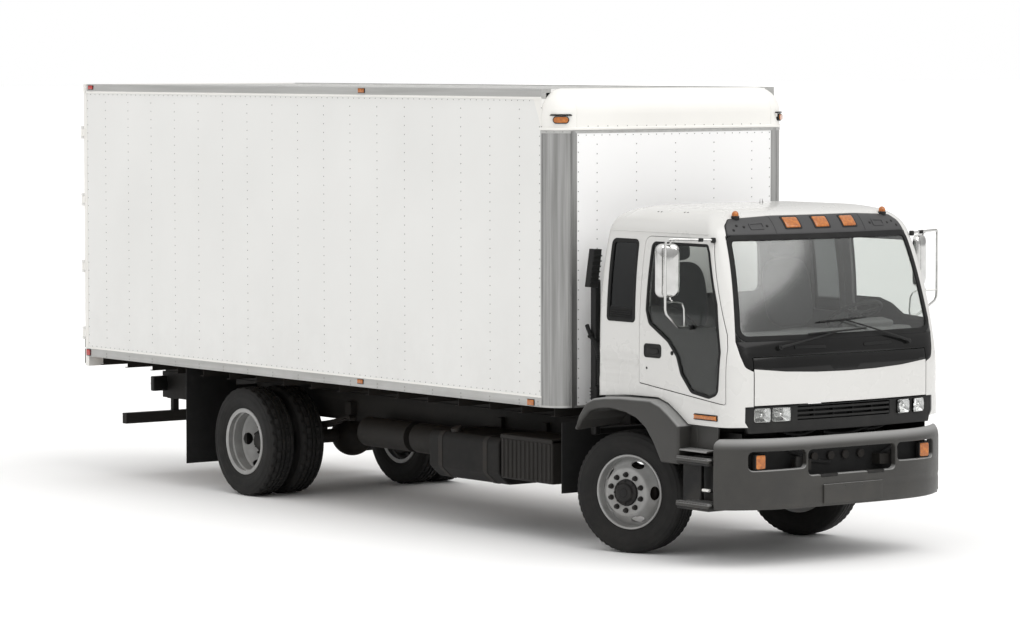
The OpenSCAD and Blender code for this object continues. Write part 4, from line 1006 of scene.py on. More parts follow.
# rim rubber, glass and doors on both sides
for s_, side_ in ((1, "left"), (-1, "right")):
    def SD(pts, step=20):
        return [(s_ * u, v) for u, v in from_side(pts, step)]
    b = B()
    panel(b, CAB, SD(DOOR), [SD(DWIN)], T=38, r=3.5, grid=26, mi=0, mside=1)
    # inner trim and its armrest
    trim = rounded([(-270, 1420), (-270, 1900), (-700, 1640), (-800, 1440), (-1060, 1420), (-1060, 1330)], 40, 4)
    panel(b, CAB, SD(trim), [], T=26, r=8, grid=60, mi=1, lift=-38)
    b.make("cab_door_%s_skin" % side_, "cab_door_" + side_, [WHITE, INT], angle=45,
           rep=("door_" + side_,), merge=0.05, wn=False)
    b = B()
    panel(b, CAB, SD(grow(DWIN, 10)), [SD(grow(DWIN, -13))], T=13, r=2.5, grid=40, lift=2.2)
    # opaque lower trim behind the glass, as on the real door
    low = rounded([(-318, 1990), (-620, 1988), (-760, 1950), (-900, 1868), (-1168, 1850), (-1196, 1670), (-1174, 1352),
                   (-1080, 1320), (-872, 1350), (-752, 1480), (-700, 1615), (-585, 1730), (-348, 1856)], 20, 3)
    panel(b, CAB, SD(low), [], T=8, r=3, grid=50, lift=-13, mi=1)
    b.make("door_rubber_" + side_, "cab_door_" + side_, [RUB, GLOSS], angle=50, merge=0.05, wn=False)
    b = B()
    panel(b, CAB, SD(grow(DWIN, 2)), [], T=5, r=0.8, grid=40, lift=-6)
    b.make("door_pane_" + side_, "cab_door_" + side_, [GLASS], angle=50, rep=("door_glass_" + side_,),
           merge=0.02, wn=False)
    # quarter window: rubber, dark pane, vent with louvres
    b = B()
    panel(b, CAB, SD(grow(QWIN, 9)), [SD(grow(QWIN, -24))], T=12, r=2.5, grid=40, lift=2.0)
    vent = rounded([(164, 1864), (164, 1958), (-138, 1958), (-142, 1864)], 18, 4)
    panel(b, CAB, SD(vent), [], T=6, r=1.5, grid=40, lift=-2)
    for k in range(5):
        z = 1876 + k * 17
        x = float(cab_fn(np.array([1900.0]), v_of_z(np.array([z])))[0, 0])
        b.prism([(x - 2, z - 5), (x + 4.5, z - 3), (x + 5, z), (x - 2, z + 5)] if s_ > 0 else
                [(-x + 2, z - 5), (-x - 4.5, z - 3), (-x - 5, z), (-x + 2, z + 5)], "y", -118, 146, 1.0)
    b.make("quarter_window_frame_" + side_, "cab", [RUB], angle=50, merge=0.05, wn=False)
    # handle, lock, side marker, gutter, mirror feet
    b = B()
    yh0, yh1, zh0, zh1 = -500, -285, 1580, 1690
    hp = rounded([(yh0, zh0), (yh1, zh0), (yh1, zh1), (yh0, zh1)], 30, 5)
    panel(b, CAB, SD(hp), [SD(grow(hp, -12))], T=16, r=3, grid=40, lift=5)
    panel(b, CAB, SD(grow(hp, -8)), [], T=5, r=1, grid=40, lift=1.5)
    bar_ = rounded([(-470, 1612), (-330, 1612), (-330, 1656), (-470, 1656)], 20, 5)
    panel(b, CAB, SD(bar_), [], T=14, r=6, grid=40, lift=10)
    c = cab_fn(np.array([from_side([(-633, 1630), (-640, 1630)], 50, False)[0][0]]), v_of_z(np.array([1630.0])))[0]
    b.cyl((s_ * (c[0] - 6), -633, 1630), (s_ * (c[0] + 5), -633, 1630), 17, 24, 2.5)
    c = cab_fn(np.array([1900.0]), v_of_z(np.array([1497.0])))[0]
    b.cyl((s_ * (c[0] - 6), -320, 1497), (s_ * (c[0] + 4), -320, 1497), 9, 20, 1.5)
    b.make("door_handle_" + side_, "cab_door_" + side_, [BLKP], angle=50, merge=0.05, wn=False)
    b = B()
    mk_ = rounded([(-1205, 1136), (-925, 1136), (-925, 1184), (-1205, 1184)], 8, 4)
    panel(b, CAB, SD(mk_), [], T=8, r=2.5, grid=40, lift=6)
    panel(b, CAB, SD(grow(mk_, -9)), [], T=10, r=4, grid=40, lift=15, mi=1)
    b.make("side_marker_" + side_, "cab", [BLKP, AMBER], angle=50, merge=0.05, wn=False)

# windshield with its rubber, cowl, lid, visor
b = B()
panel(b, CAB, from_front(WS), [], T=6, r=1, grid=42, lift=-6)
b.make("windshield_pane", "cab", [GLASSW], rep=("windshield",), merge=0.02, wn=False)
b = B()
panel(b, CAB, from_front(grow(WS, 6), 22), [from_front(grow(WS, -36), 22)], T=14, r=2.5, grid=40, lift=2.5)
b.make("windshield_rubber", "cab", [RUB], rep=(), merge=0.05, wn=False)
b = B()
panel(b, CAB, from_front(COWL, 22), [], T=36, r=3, grid=36, lift=0, mi=0)
for s_ in (-1, 1):
    # rest pads under the wiper blades
    pad = rounded([(s_ * 195, 1675), (s_ * 500, 1680), (s_ * 500, 1706), (s_ * 195, 1700)], 9, 4)
    panel(b, CAB, from_front(pad), [], T=6, r=3, grid=60, lift=7, mi=1)
b.make("cowl_panel_gloss", "cab", [GLOSS, RUB], rep=("cowl_panel",), merge=0.05, wn=False)

b = B()
split = [(885, 1540), (600, 1512), (300, 1498), (0, 1494), (-300, 1498), (-600, 1512), (-885, 1540)]
up_ = dense([(-885, LZ1), (885, LZ1)], 40, False) + [(885, 1580)] + dense(split, 40, False) + [(-885, 1580)]
panel(b, CAB, from_front(up_, 40), [], T=30, r=2.2, grid=36, mi=1, mside=2)
low_ = [(885, LZ0), (885, 1400)] + dense([(x, z - 1.5) for x, z in split], 40, False) + [(-885, 1400), (-885, LZ0)]
panel(b, CAB, from_front(low_, 40), [], T=30, r=2.2, grid=36, mi=0, mside=2)
b.rb((-860, -1345, 1290), (860, -1335, 1600), 3, 2)
b.make("front_lid_panel", "front_lid", [WHITE, GLOSS, BLKP], rep=("front_lid",), merge=0.05, wn=False)

b = B()
panel(b, CAB, from_front(VIS, 22), [], T=34, r=9, grid=30, lift=6)
for x0, x1 in ((-470, -446), (446, 470)):
    panel(b, CAB, from_front(dense([(x0, 2560), (x1 - 18, 2560), (x1 - 18, 2682), (x0, 2682)], 30)), [], T=4, r=1.5,
          grid=60, lift=9)
for s_ in (-1, 1):
    clip = rounded([(s_ * 560, 2592), (s_ * 690, 2590), (s_ * 690, 2640), (s_ * 560, 2646)], 12, 4)
    panel(b, CAB, from_front(clip), [from_front(grow(clip, -12))], T=6, r=1.5, grid=60, lift=11)
    for x, z in ((740, 2612), (800, 2622), (840, 2590), (530, 2616)):
        uv = from_front([(s_ * x, z), (s_ * x + 1, z)], 50, False)[0]
        p, n = CAB(np.array([uv[0]]), np.array([uv[1]]))
        b.rivet(p[0] + n[0] * 5, n[0], 13, 6, 1, 12)
b.make("visor_panel", "cab", [VISOR, BLKP], rep=("cab_visor",), merge=0.05, wn=False)
b = B()
for x in (-290, 0, 290):
    fr = rounded([(x - 84, 2588), (x + 84, 2588), (x + 84, 2682), (x - 84, 2682)], 12, 4)
    ln = rounded([(x - 70, 2598), (x + 70, 2598), (x + 70, 2674), (x - 70, 2674)], 9, 4)
    panel(b, CAB, from_front(fr), [from_front(ln)], T=10, r=2.5, grid=40, lift=10, mi=1)
    panel(b, CAB, from_front(grow(ln, -1)), [], T=16, r=6, grid=24, lift=15, mi=0)
for s_ in (-1, 1):
    for r_, z0, z1, mi_ in ((46, 2686, 2704, 1),):
        b.M = Matrix.Translation((s_ * 760, -987, 0)) @ Matrix.Rotation(-math.pi / 2, 4, "Y")
        b.lathe([(0.01, 2668), (30, 2668), (32, 2680), (33, 2692), (30, 2699), (0.01, 2699)], 32, 1, False)
        b.lathe([(0.01, 2696), (27, 2696), (28, 2708), (25, 2722), (17, 2733), (7, 2738), (0.01, 2739)], 32, 0, False)
        b.M = None
b.make("roof_marker_lenses", "cab", [AMBER, BLKP], merge=0.05, wn=False)

# roof gutter, roof rack holes
b = B()
for s_ in (-1, 1):
    pts = []
    for u in np.linspace(1165, 2625, 60):
        p = cab_fn(np.array([u]), v_of_z(np.array([2562.0])))[0]
        pts.append((s_ * (p[0] + 1.5), p[1], p[2]))
    b.tube(pts, 4.5, 8)
b.make("roof_gutter", "cab", [WHITE], wn=False)
b = B()
for s_ in (-1, 1):
    for u, z in ((2120, 2712), (2060, 2712), (1640, 2716), (1580, 2716)):
        p, n = CAB(np.array([s_ * u * 1.0]), np.array([float(v_of_z(z))]))
        b.rivet(p[0], n[0], 9, 1.2, 0, 12)
b.make("roof_plugs", "cab", [RUB], wn=False)

# cab grille and lamps
GRX = 930


def frontp(x, z, d=0.0):
    uv = from_front([(x, z), (x + 0.5, z)], 50, False)[0]
    p, n = CAB(np.array([uv[0]]), np.array([uv[1]]))
    return p[0] + n[0] * d


b = B()
LX = ((549, 713), (734, 880))
holes = []
for s_ in (-1, 1):
    for a_, b_ in LX:
        holes.append(from_front(rounded([(s_ * a_, 1126), (s_ * b_, 1126), (s_ * b_, 1235), (s_ * a_, 1235)], 14, 4)))
holes.append(from_front(rounded([(-478, 1128), (478, 1128), (478, 1238), (-478, 1238)], 10, 3)))
panel(b, CAB, from_front(rounded([(-934, 1042), (934, 1042), (961, 1128), (959, 1246), (-959, 1246), (-961, 1128)], 14, 4)), holes, T=40, r=3,
      grid=34, lift=-12)
for k in range(3):
    z = 1146 + k * 36
    pts0 = [frontp(x, z, -16) for x in np.linspace(-484, 484, 25)]
    prof = [(0, -8), (-26, -12), (-30, -6), (-8, 9), (0, 8)]
    vs, fs = [], []
    for p in pts0:
        for dy, dz in prof:
            vs.append((p[0], p[1] - dy, p[2] + dz))
    m_ = len(prof)
    for i in range(len(pts0) - 1):
        for k2 in range(m_):
            j = (k2 + 1) % m_
            fs.append([i * m_ + k2, i * m_ + j, (i + 1) * m_ + j, (i + 1) * m_ + k2])
    fs.append(list(range(m_)))
    fs.append([(len(pts0) - 1) * m_ + q for q in range(m_)])
    b.add(vs, fs, 0)
b.rb((-500, -1350, 1070), (500, -1340, 1240), 2)
for x in (-300, -100, 100, 300):
    b.rb((x - 5, -1395, 1075), (x + 5, -1345, 1238), 2)
b.make("grille_bars", "cab", [BLKP], rep=("grille",), merge=0.05, wn=False)

b = B()
for s_ in (-1, 1):
    for a_, b_ in LX:
        x0, x1 = a_ + 4, b_ - 4
        cx, cz = (x0 + x1) / 2, 1180
        base = frontp(s_ * cx, 1180, 0)
        n = len(rounded(rect(x0, x1, 1129, 1232), 18, 5))
        # lens: rounded rectangle swelling outwards, reflector bowl behind
        def ring(k, dep):
            out = []
            for x, z in rounded(rect(x0, x1, 1129, 1232), 18, 5):
                xx, zz = cx + (x - cx) * k, cz + (z - cz) * k
                out.append((s_ * xx, base[1] + 14 + (abs(xx) - cx) * 0.22 + dep, zz))
            return out
        vs = []
        stack = [(1.0, 4), (1.0, -4), (0.97, -12), (0.9, -17), (0.7, -22), (0.4, -25), (0.12, -26)]
        for k, d in stack:
            vs += ring(k, d)
        fs = [list(range(n)), [(len(stack) - 1) * n + i for i in range(n)]]
        for q in range(len(stack) - 1):
            fs += [[q * n + i, q * n + (i + 1) % n, (q + 1) * n + (i + 1) % n, (q + 1) * n + i] for i in range(n)]
        b.add(vs, fs, 0)
        vs = []
        stack = [(1.02, -6), (1.02, 46), (0.5, 52), (0.3, 50), (0.42, 40), (0.66, 24), (0.86, 10), (0.95, 6), (0.95, -6)]
        for k, d in stack:
            vs += ring(k, d)
        fs = []
        for q in range(len(stack)):
            w = (q + 1) % len(stack)
            fs += [[q * n + i, q * n + (i + 1) % n, w * n + (i + 1) % n, w * n + i] for i in range(n)]
        b.add(vs, fs, 1)
        b.M = Matrix.Translation((s_ * cx, base[1] + 14, cz)) @ Matrix.Rotation(-math.pi / 2, 4, "Z")
        b.lathe([(0.01, -52), (26, -52), (26, -38), (15, -22), (14, -8), (9, -3), (0.01, -2)], 24, 1, False)
        b.M = None
b.make("headlamp_units", "cab", [LENS, CHROME], angle=40, rep=("headlamps",), wn=False)

# cab rear glass and quarter panes
b = B()
b.prism(rect(-556, 556, 2024, 2438, 60, 5), "y", 262, 268, 1)
for s_ in (1, -1):
    panel(b, CAB, [(s_ * u, v) for u, v in from_side(grow(QWIN, 3))], [], T=5, r=0.8, grid=60, lift=-8, mi=1)
b.make("cab_panes", "cab", [GLASS, GLASSD], rep=("cab_windows",), merge=0.02, wn=False)

# ---------- bumper ----------
BUMP = np.array([[0, -1510], [350, -1508], [540, -1498], [700, -1474], [860, -1428], [1000, -1358], [1095, -1290],
                 [1146, -1244], [1166, -1212]], float)
_bs = np.concatenate([[0], np.cumsum(np.hypot(*np.diff(BUMP, axis=0).T))])
_bx, _by = pchip(_bs, BUMP[:, 0]), pchip(_bs, BUMP[:, 1])
BL = float(_bs[-1])


def bump_fn2(u, v):
    u, v = np.asarray(u, float), np.asarray(v, float)
    a = np.minimum(np.abs(u), BL)
    x, y = _bx(a), _by(a)
    a1, a0 = np.minimum(a + 2, BL), np.maximum(a - 2, 0)
    tx, ty = _bx(a1) - _bx(a0), _by(a1) - _by(a0)
    ln = np.maximum(np.hypot(tx, ty), 1e-6)
    tx, ty = tx / ln, ty / ln
    # outward normal of the outline is (ty, -tx); inward is its opposite
    top = np.clip((v - 906) / 104, 0, 1)
    bot = np.clip((516 - v) / 66, 0, 1)
    d = 62 * (1 - np.sqrt(np.maximum(1 - top ** 2 * 0.985, 0.0))) + 26 * (1 - np.sqrt(np.maximum(1 - bot ** 2 * 0.97, 0)))
    d = d + 10 * smooth(622 - v, 0, 40) - 9 * smooth(604 - v, 0, 10)
    x, y = x - ty * d, y + tx * d
    return np.stack([np.where(u < 0, -x, x), y, v], 1)


PBMP = surf(bump_fn2)


def bu(x):
    return math.copysign(float(np.interp(abs(x), _bx(np.linspace(0, BL, 400)), np.linspace(0, BL, 400))), x)


b = B()
holes = [[(bu(x), z) for x, z in dense(rounded([(-450, 905), (-450, 706), (450, 706), (450, 905)], 40, 6), 30)]]
for s_ in (-1, 1):
    holes.append([(bu(x), z) for x, z in dense(rounded([(s_ * 470, 768), (s_ * 955, 758), (s_ * 955, 905),
                                                       (s_ * 470, 908)], 38, 6), 26)])
outer = dense(rounded([(-BL + 1, 452), (BL - 1, 452), (BL - 1, 1009), (-BL + 1, 1009)], [20, 20, 60, 60], 6), 26)
panel(b, PBMP, outer, holes, T=52, r=9, grid=26, mi=0, seg=4)
# stays to the horns
for s_ in (-1, 1):
    b.rb((s_ * 458, -1450, 707), (s_ * 527, -1427, 853), 4, 1)
    # pads on the lower lip
    b.rb((s_ * 150, -1514, 682), (s_ * 330, -1470, 712), 8, 1)
b.make("bumper_cover", "truck", [GREY, BLKP], angle=45, rep=("front_bumper",), merge=0.05, wn=False)
b = B()
panel(b, flat("y", -1521.5, -1), rounded([(-303, 478), (303, 478), (303, 628), (-303, 628)], 6, 3),
      [[(x + 3.5 * math.cos(t), 606 + 3.5 * math.sin(t)) for t in np.linspace(0, 2 * math.pi, 17)[:-1]]
       for x in (-89, 89)], T=13, r=1.5, grid=60)
b.make("plate_holder", "truck", [GREY], angle=45, merge=0.02, wn=False)

# ---------- lamps on the truck ----------
b = B()
for s_ in (-1, 1):
    # bumper turn signals
    b.rb((s_ * 792, -1404, 762), (s_ * 900, -1362, 884), 6, 1)
    panel(b, flat("y", -1406, -1), rounded([(s_ * 800, 770), (s_ * 893, 770), (s_ * 893, 878), (s_ * 800, 878)], 14, 4), [],
          T=8, r=5, grid=16, mi=0)
    # tail lamps
    b.rb((s_ * 440, 7780, 760), (s_ * 600, 7842, 900), 8, 1)
    for x in (480, 560):
        b.cyl((s_ * x, 7840, 830), (s_ * x, 7851, 830), 34, 28, 4, 2)
    # side lamps on the body rails: y, z, y size, z size, lens
    for y, z, dy, dz, mi_ in ((3360, 3626, 90, 34, 0), (3395, 1141, 80, 34, 0), (977, 1120, 84, 44, 0),
                              (7815, 3626, 80, 34, 2), (7895, 1124, 66, 52, 2)):
        x = s_ * (HW + 5)
        b.rb((x, y - 6, z - 5), (x + s_ * 3, y + dy + 6, z + dz + 5), 1.2, 1)
        b.rb((x + s_ * 2, y, z), (x + s_ * 10, y + dy, z + dz), 4, mi_)
    # oval lamps on the moulded corners
    th = math.radians(51)
    for k in range(1):
        c = Vector((s_ * (HW - NR + (NR + 1) * math.cos(th)), PY - (NR + 1) * math.sin(th), 3424))
        nrm = Vector((s_ * math.cos(th), -math.sin(th), 0))
        tan = Vector((s_ * math.sin(th), math.cos(th), 0))
        rot = Matrix((tan, Vector((0, 0, 1)), nrm)).transposed().to_4x4()
        b.M = Matrix.Translation(c) @ rot
        ov = rounded([(-66, -30), (66, -30), (66, 30), (-66, 30)], 29, 8)
        b.prism(ov, "z", -14, 12, 4, 1)
        b.prism(grow(ov, -7), "z", 8, 21, 6, 0, 3)
        b.M = None
b.make("marker_lamp_lenses", "truck", [AMBER, BLKP, RED], rep=("marker_lamps",), merge=0.02)

# ---------- fenders and steps ----------
AO = [(500, 955), (440, 1075), (330, 1190), (240, 1225), (100, 1245), (-100, 1258), (-480, 1262), (-600, 1228),
      (-700, 1172), (-838, 1080), (-812, 780)]
AI = [(-590, 780), (-500, 935), (-420, 1035), (-300, 1105), (-160, 1140), (20, 1158), (160, 1150), (290, 1120),
      (400, 1035), (468, 955)]
arch = rounded(AO + AI, [10, 90, 90, 120, 120, 150, 60, 100, 60, 16, 16, 16, 120, 120, 120, 150, 200, 150, 120, 90, 10], 5)
b = B()
for s_ in (-1, 1):
    def ff(u, v):
        u, v = np.asarray(u, float), np.asarray(v, float)
        # the front leg leans in towards its foot, the rear edge too
        x = 1201 - 16 * smooth(1080 - v, 0, 300) - 10 * smooth(u, 300, 500)
        return np.stack([s_ * x, u, v], 1)

    def PF(u, v, ff=ff, s_=s_):
        p, n = surf(ff)(u, v)
        return p, n * np.where(n[:, 0] * s_ < 0, -1, 1)[:, None]
    panel(b, PF, dense(ccw(arch), 30), [], T=436, r=24, grid=36, mi=0, seg=5)
    # recessed wall of the step well with its rib, and the top shelf
    b.prism([(-806, 896), (-826, 1085), (-1160, 1085), (-1150, 896)], "x", s_ * 1060 - 12, s_ * 1060 + 12, 6, 0)
    b.prism([(-935, 898), (-905, 1084), (-889, 1084), (-919, 898)], "x", s_ * 1069 - 6, s_ * 1069 + 6, 4, 0)
    b.prism([(s_ * 1004, 893), (s_ * 1180, 893), (s_ * 1172, 905), (s_ * 1004, 912)], "y", -1150, -806, 3, 0)
    b.rb((s_ * 435, -860, 895), (s_ * 1060, -822, 928), 6, 1)
for s_ in (-1, 1):
    b.rb((s_ * 944, -1296, 462), (s_ * 952, -590, 1040), 3, 1)
    b.rb((s_ * 520, -815, 455), (s_ * 950, -806, 1000), 3, 1)
b.make("fender_skins", "truck", [GREY, BLKP], angle=45, rep=("fenders",), merge=0.05, wn=False)
b = B()
for s_ in (-1, 1):
    for z0 in (788, 440):
        z1 = z0 + 60
        b.rb((s_ * 962, -1190, z0 + 4), (s_ * 1192, -800, z1 - 14), 7, 1)
        # rim channels and the toothed treads
        for xa, xb in ((1150, 1200), (962, 992)):
            b.rb((s_ * xa, -1190, z1 - 34), (s_ * xb, -800, z1 - 6), 5, 0)
        for k in range(20):
            y = -1184 + k * 19.4
            for xa, xb in ((1152, 1198), (1060, 1100), (1008, 1044)):
                zt = z1 - 8 if xa > 1100 else z1 - 16
                b.prism([(y, zt), (y + 12, zt), (y + 8, zt + 13), (y + 4, zt + 13)], "x",
                        min(s_ * xa, s_ * xb), max(s_ * xa, s_ * xb), 1.5, 0, 1)
    for y in (-1112, -872):
        b.rb((s_ * 968, y, 496), (s_ * 1000, y + 26, 830), 4, 1)
    b.rb((s_ * 432, -1112, 700), (s_ * 972, -1085, 760), 5, 1)
    b.rb((s_ * 1120, -1136, 590), (s_ * 1150, -1056, 612), 5, 2)
    b.rb((s_ * 950, -1130, 583), (s_ * 1122, -1062, 591), 2, 1)
b.make("step_treads", "truck", [GREY, BLKP, NOSE], rep=("cab_steps",))

# ---------- load body trim ----------
b = B()
NAT = (1, 0, 0)
cols = [7603 - 401.6 * i for i in range(17)]
for s_ in (-1, 1):
    n = (s_, 0, 0)
    x = s_ * HW
    for y in cols:
        for k in range(30):
            b.rivet((x, y, 1302 + k * 76.0), n, 5.6, 2.4, 1)
        for z in (1153, 1124):
            b.rivet((x + s_ * 5, y, z), n, 8.5, 4, 0)
    for k in range(87):
        y = 960 + k * 80.32
        if y < 7960:
            b.rivet((x, y, 3577), n, 5, 2.2, 1)
            b.rivet((x, y, 1212), n, 5, 2.2, 1)
    for k in range(31):
        b.rivet((x, 908, 1240 + k * 76), n, 5, 2.4, 1)
        if k % 2 == 0:
            b.rivet((x + s_ * 2.5, 880, 1240 + k * 76), n, 6, 2.6, 0)
        b.rivet((x, 7922, 1240 + k * 76), n, 5, 2.4, 1)
        b.rivet((x + s_ * 0, 7975, 1240 + k * 76), n, 6, 2.6, 0)
    for z in (1153, 1124):
        b.rivet((x + s_ * 5, 926, z), n, 8.5, 4, 0)
for x in (-812.8, -406.4, 0, 406.4, 812.8):
    for k in range(27):
        b.rivet((x, BY0, 1245 + k * 76.2), (0, -1, 0), 5.6, 2.4, 1)
for k in range(26):
    x = -1004 + k * 80.3
    b.rivet((x, BY0, 3300), (0, -1, 0), 5, 2.2, 1)
    b.rivet((x, BY0, 1150), (0, -1, 0), 5, 2.2, 1)
for k in range(19):
    b.rivet((-904 + k * 100.4, BY0, 3372), (0, -1, 0), 5.5, 2.4, 0)
for s_ in (-1, 1):
    for k in range(27):
        b.rivet((s_ * 1004, BY0, 1190 + k * 79), (0, -1, 0), 5, 2.4, 1)
        if k % 2 == 0:
            b.rivet((s_ * 1046, BY0 + 1.8, 1210 + k * 79), (0.13 * s_, -0.99, 0), 6, 3, 0)
    for th in (15, 35, 55, 75):
        a = math.radians(th)
        b.rivet((s_ * (HW - NR + (NR + 3) * math.cos(a)), PY - (NR + 3) * math.sin(a), 3329),
                (s_ * math.cos(a), -math.sin(a), 0), 5.5, 2.4, 0)
# rivets down the rear frame
for s_ in (-1, 1):
    for k in range(16):
        b.rivet((s_ * (HW - 33), BY1 + 0.5, 1240 + k * 150), (0, 1, 0), 6, 3, 0)
b.make("body_rivets", "truck", [RIVET, RIVD], angle=60, wn=False)


def sweep(b, path, prof, mi=0):
    """Path of (point, outward normal) in plan; prof is (out, z)."""
    vs, fs = [], []
    m = len(prof)
    for p, nv in path:
        for d, z in prof:
            vs.append((p[0] + nv[0] * d, p[1] + nv[1] * d, z))
    for i in range(len(path) - 1):
        for k in range(m):
            j = (k + 1) % m
            fs.append([i * m + k, i * m + j, (i + 1) * m + j, (i + 1) * m + k])
    fs.append(list(range(m)))
    fs.append([(len(path) - 1) * m + k for k in range(m)])
    b.add(vs, fs, mi)


path = [((-HW, PY + 16), (-1, 0))]
for k in range(17):
    a = math.pi / 2 * k / 16
    path.append(((-(HW - NR) - NR * math.cos(a), PY - NR * math.sin(a)), (-math.cos(a), -math.sin(a))))
path += [((-x, y), (-n0, n1)) for (x, y), (n0, n1) in path[::-1]]
b = B()
sweep(b, path, [(-1, 3340), (9, 3341), (12, 3345), (12, 3358), (9, 3363), (-1, 3366)], 0)
sweep(b, path, [(-1, 3316), (3, 3317), (3.4, 3338), (-1, 3339)], 1)
# bottom rim of the front wall
sweep(b, path, [(-1, 1111), (4, 1112), (4, 1128), (-1, 1130)], 1)
for s_ in (-1, 1):
    x = s_ * HW
    # slanted skirt of the moulded corner on the side wall
    b.prism(rounded([(876, 3345), (888, 3366), (984, 3590), (976, 3600), (876, 3600)], 4, 3), "x",
            min(x, x + s_ * 3), max(x, x + s_ * 3), 1.2, 0)
    # bright lips of the top and bottom rails
    b.prism([(x, 3588), (x + s_ * 11, 3590), (x + s_ * 11, 3603), (x + s_ * 6, 3608), (x, 3609)], "y", 880, 7932, 0.5, 2)
    b.prism([(x, 3660), (x + s_ * 8, 3661), (x + s_ * 8, 3668), (x, 3672)], "y", 880, 7932, 0.5, 1)
    b.prism([(x, 1187), (x + s_ * 9, 1188), (x + s_ * 7, 1199), (x, 1203)], "y", 880, 7932, 0.5, 2)
    b.prism([(x, 1111.5), (x + s_ * 8, 1112), (x + s_ * 8, 1117), (x, 1118)], "y", 880, 7932, 0.5, 1)
    for z in (1136, 1170):
        b.prism([(x + s_ * 4, z - 2), (x + s_ * 6.2, z), (x + s_ * 4, z + 2)], "y", 880, 7932, 0.3, 1)
    # corner post edge strips and ribs
    b.prism(rect(868, 893, 1113, 3334), "x", min(x, x + s_ * 2.4), max(x, x + s_ * 2.4), 0.8, 3)
    for th in (22, 68):
        a = math.radians(th)
        cx_, cy_ = s_ * (HW - NR + NR * math.cos(a)), PY - NR * math.sin(a)
        b.cyl((cx_, cy_, 1113), (cx_, cy_, 3334), 2.6, 8, 0.5, 3)
    b.rb((s_ * 1018, BY0 - 2.4, 1113), (s_ * 1074, BY0 + 6, 3334), 1.0, 3)
    # slit over the corner lamp
    th = math.radians(51)
    c = Vector((s_ * (HW - NR + NR * math.cos(th)), PY - NR * math.sin(th), 3462))
    rot = Matrix((Vector((s_ * math.sin(th), math.cos(th), 0)), Vector((0, 0, 1)),
                  Vector((s_ * math.cos(th), -math.sin(th), 0)))).transposed().to_4x4()
    b.M = Matrix.Translation(c) @ rot
    b.prism(rounded([(-96, -4), (96, -4), (80, 8), (-80, 8)], 3, 3), "z", -18, 9, 3, 4)
    b.prism(rounded([(-80, -34), (-96, -4), (96, -4), (80, -34)], 3, 3), "z", -22, -2, 2, 0)
    b.M = None
    # seam between moulded corner and nose sheet
    pts = []
    for k in range(13):
        a = math.pi / 2 * k / 12
        pts.append((s_ * (HW - NR), PY - (NR + 0.6) * math.cos(a), BT - NR + (NR + 0.6) * math.sin(a) - 4.6))
    b.tube([(s_ * (HW - NR), BY0 - 0.6, 3366)] + pts, 3.0, 6, 0)
    # rear corner castings: black bumpers and white cap
    b.rb((x - s_ * 1, 7955, 3595), (x + s_ * 6, 7992, 3673), 3, 0)
    b.rb((s_ * 1150, BY1 + 1, 1040), (s_ * 1216, BY1 + 26, 1180), 6, 4)
    b.rb((s_ * 1180, BY1 + 1, 1190), (s_ * 1216, BY1 + 22, 1300), 6, 4)
    b.prism(rect(7936, 7990, 1206, 3590), "x", min(x, x + s_ * 3), max(x, x + s_ * 3), 1, 2)
    # roof edge trims
    b.rb((s_ * (HW - 92), PY + 5, BT - 9), (s_ * (HW - 60), BY1 - 66, BT - 2), 2, 1)
for k in range(11):
    y = PY + 330 + k * 608
    b.rb((-(HW - 96), y, BT - 7), (HW - 96, y + 30, BT - 3), 1, 1)
b.make("body_trim", "truck", [NOSE, ALUH, NOSE, ALU, BLKP], angle=50)

# rear door hardware
for s_, side_ in ((1, "left"), (-1, "right")):
    b = B()
    y1 = BY1 - 2
    x0, x1 = 4, HW - 72
    z0, z1 = BZ + 42, BT - 100
    X = lambda v: s_ * v
    b.rb((X(x0 + 40), y1 - 1, z0 + 60), (X(x1 - 40), y1 + 3, z0 + 78), 1, 0)
    for zz in (z0 + 60, z1 - 78):
        b.rb((X(x0 + 40), y1 - 1, zz), (X(x1 - 40), y1 + 3, zz + 18), 1, 0)
    # lock handle
    b.rb((X(x0 + 205), y1 + 6, 1500), (X(x0 + 520), y1 + 20, 1528), 5, 1)
    b.rb((X(x0 + 480), y1 - 1, 1490), (X(x0 + 540), y1 + 14, 1540), 4, 0)
    for k in range(14):
        for xx in (x0 + 18, x1 - 18):
            b.rivet((X(xx), y1, z0 + 60 + k * 178), (0, 1, 0), 5.5, 2.4, 0)
    b.make("rear_door_%s_fittings" % side_, "rear_door_" + side_, [ALU, BLACK])

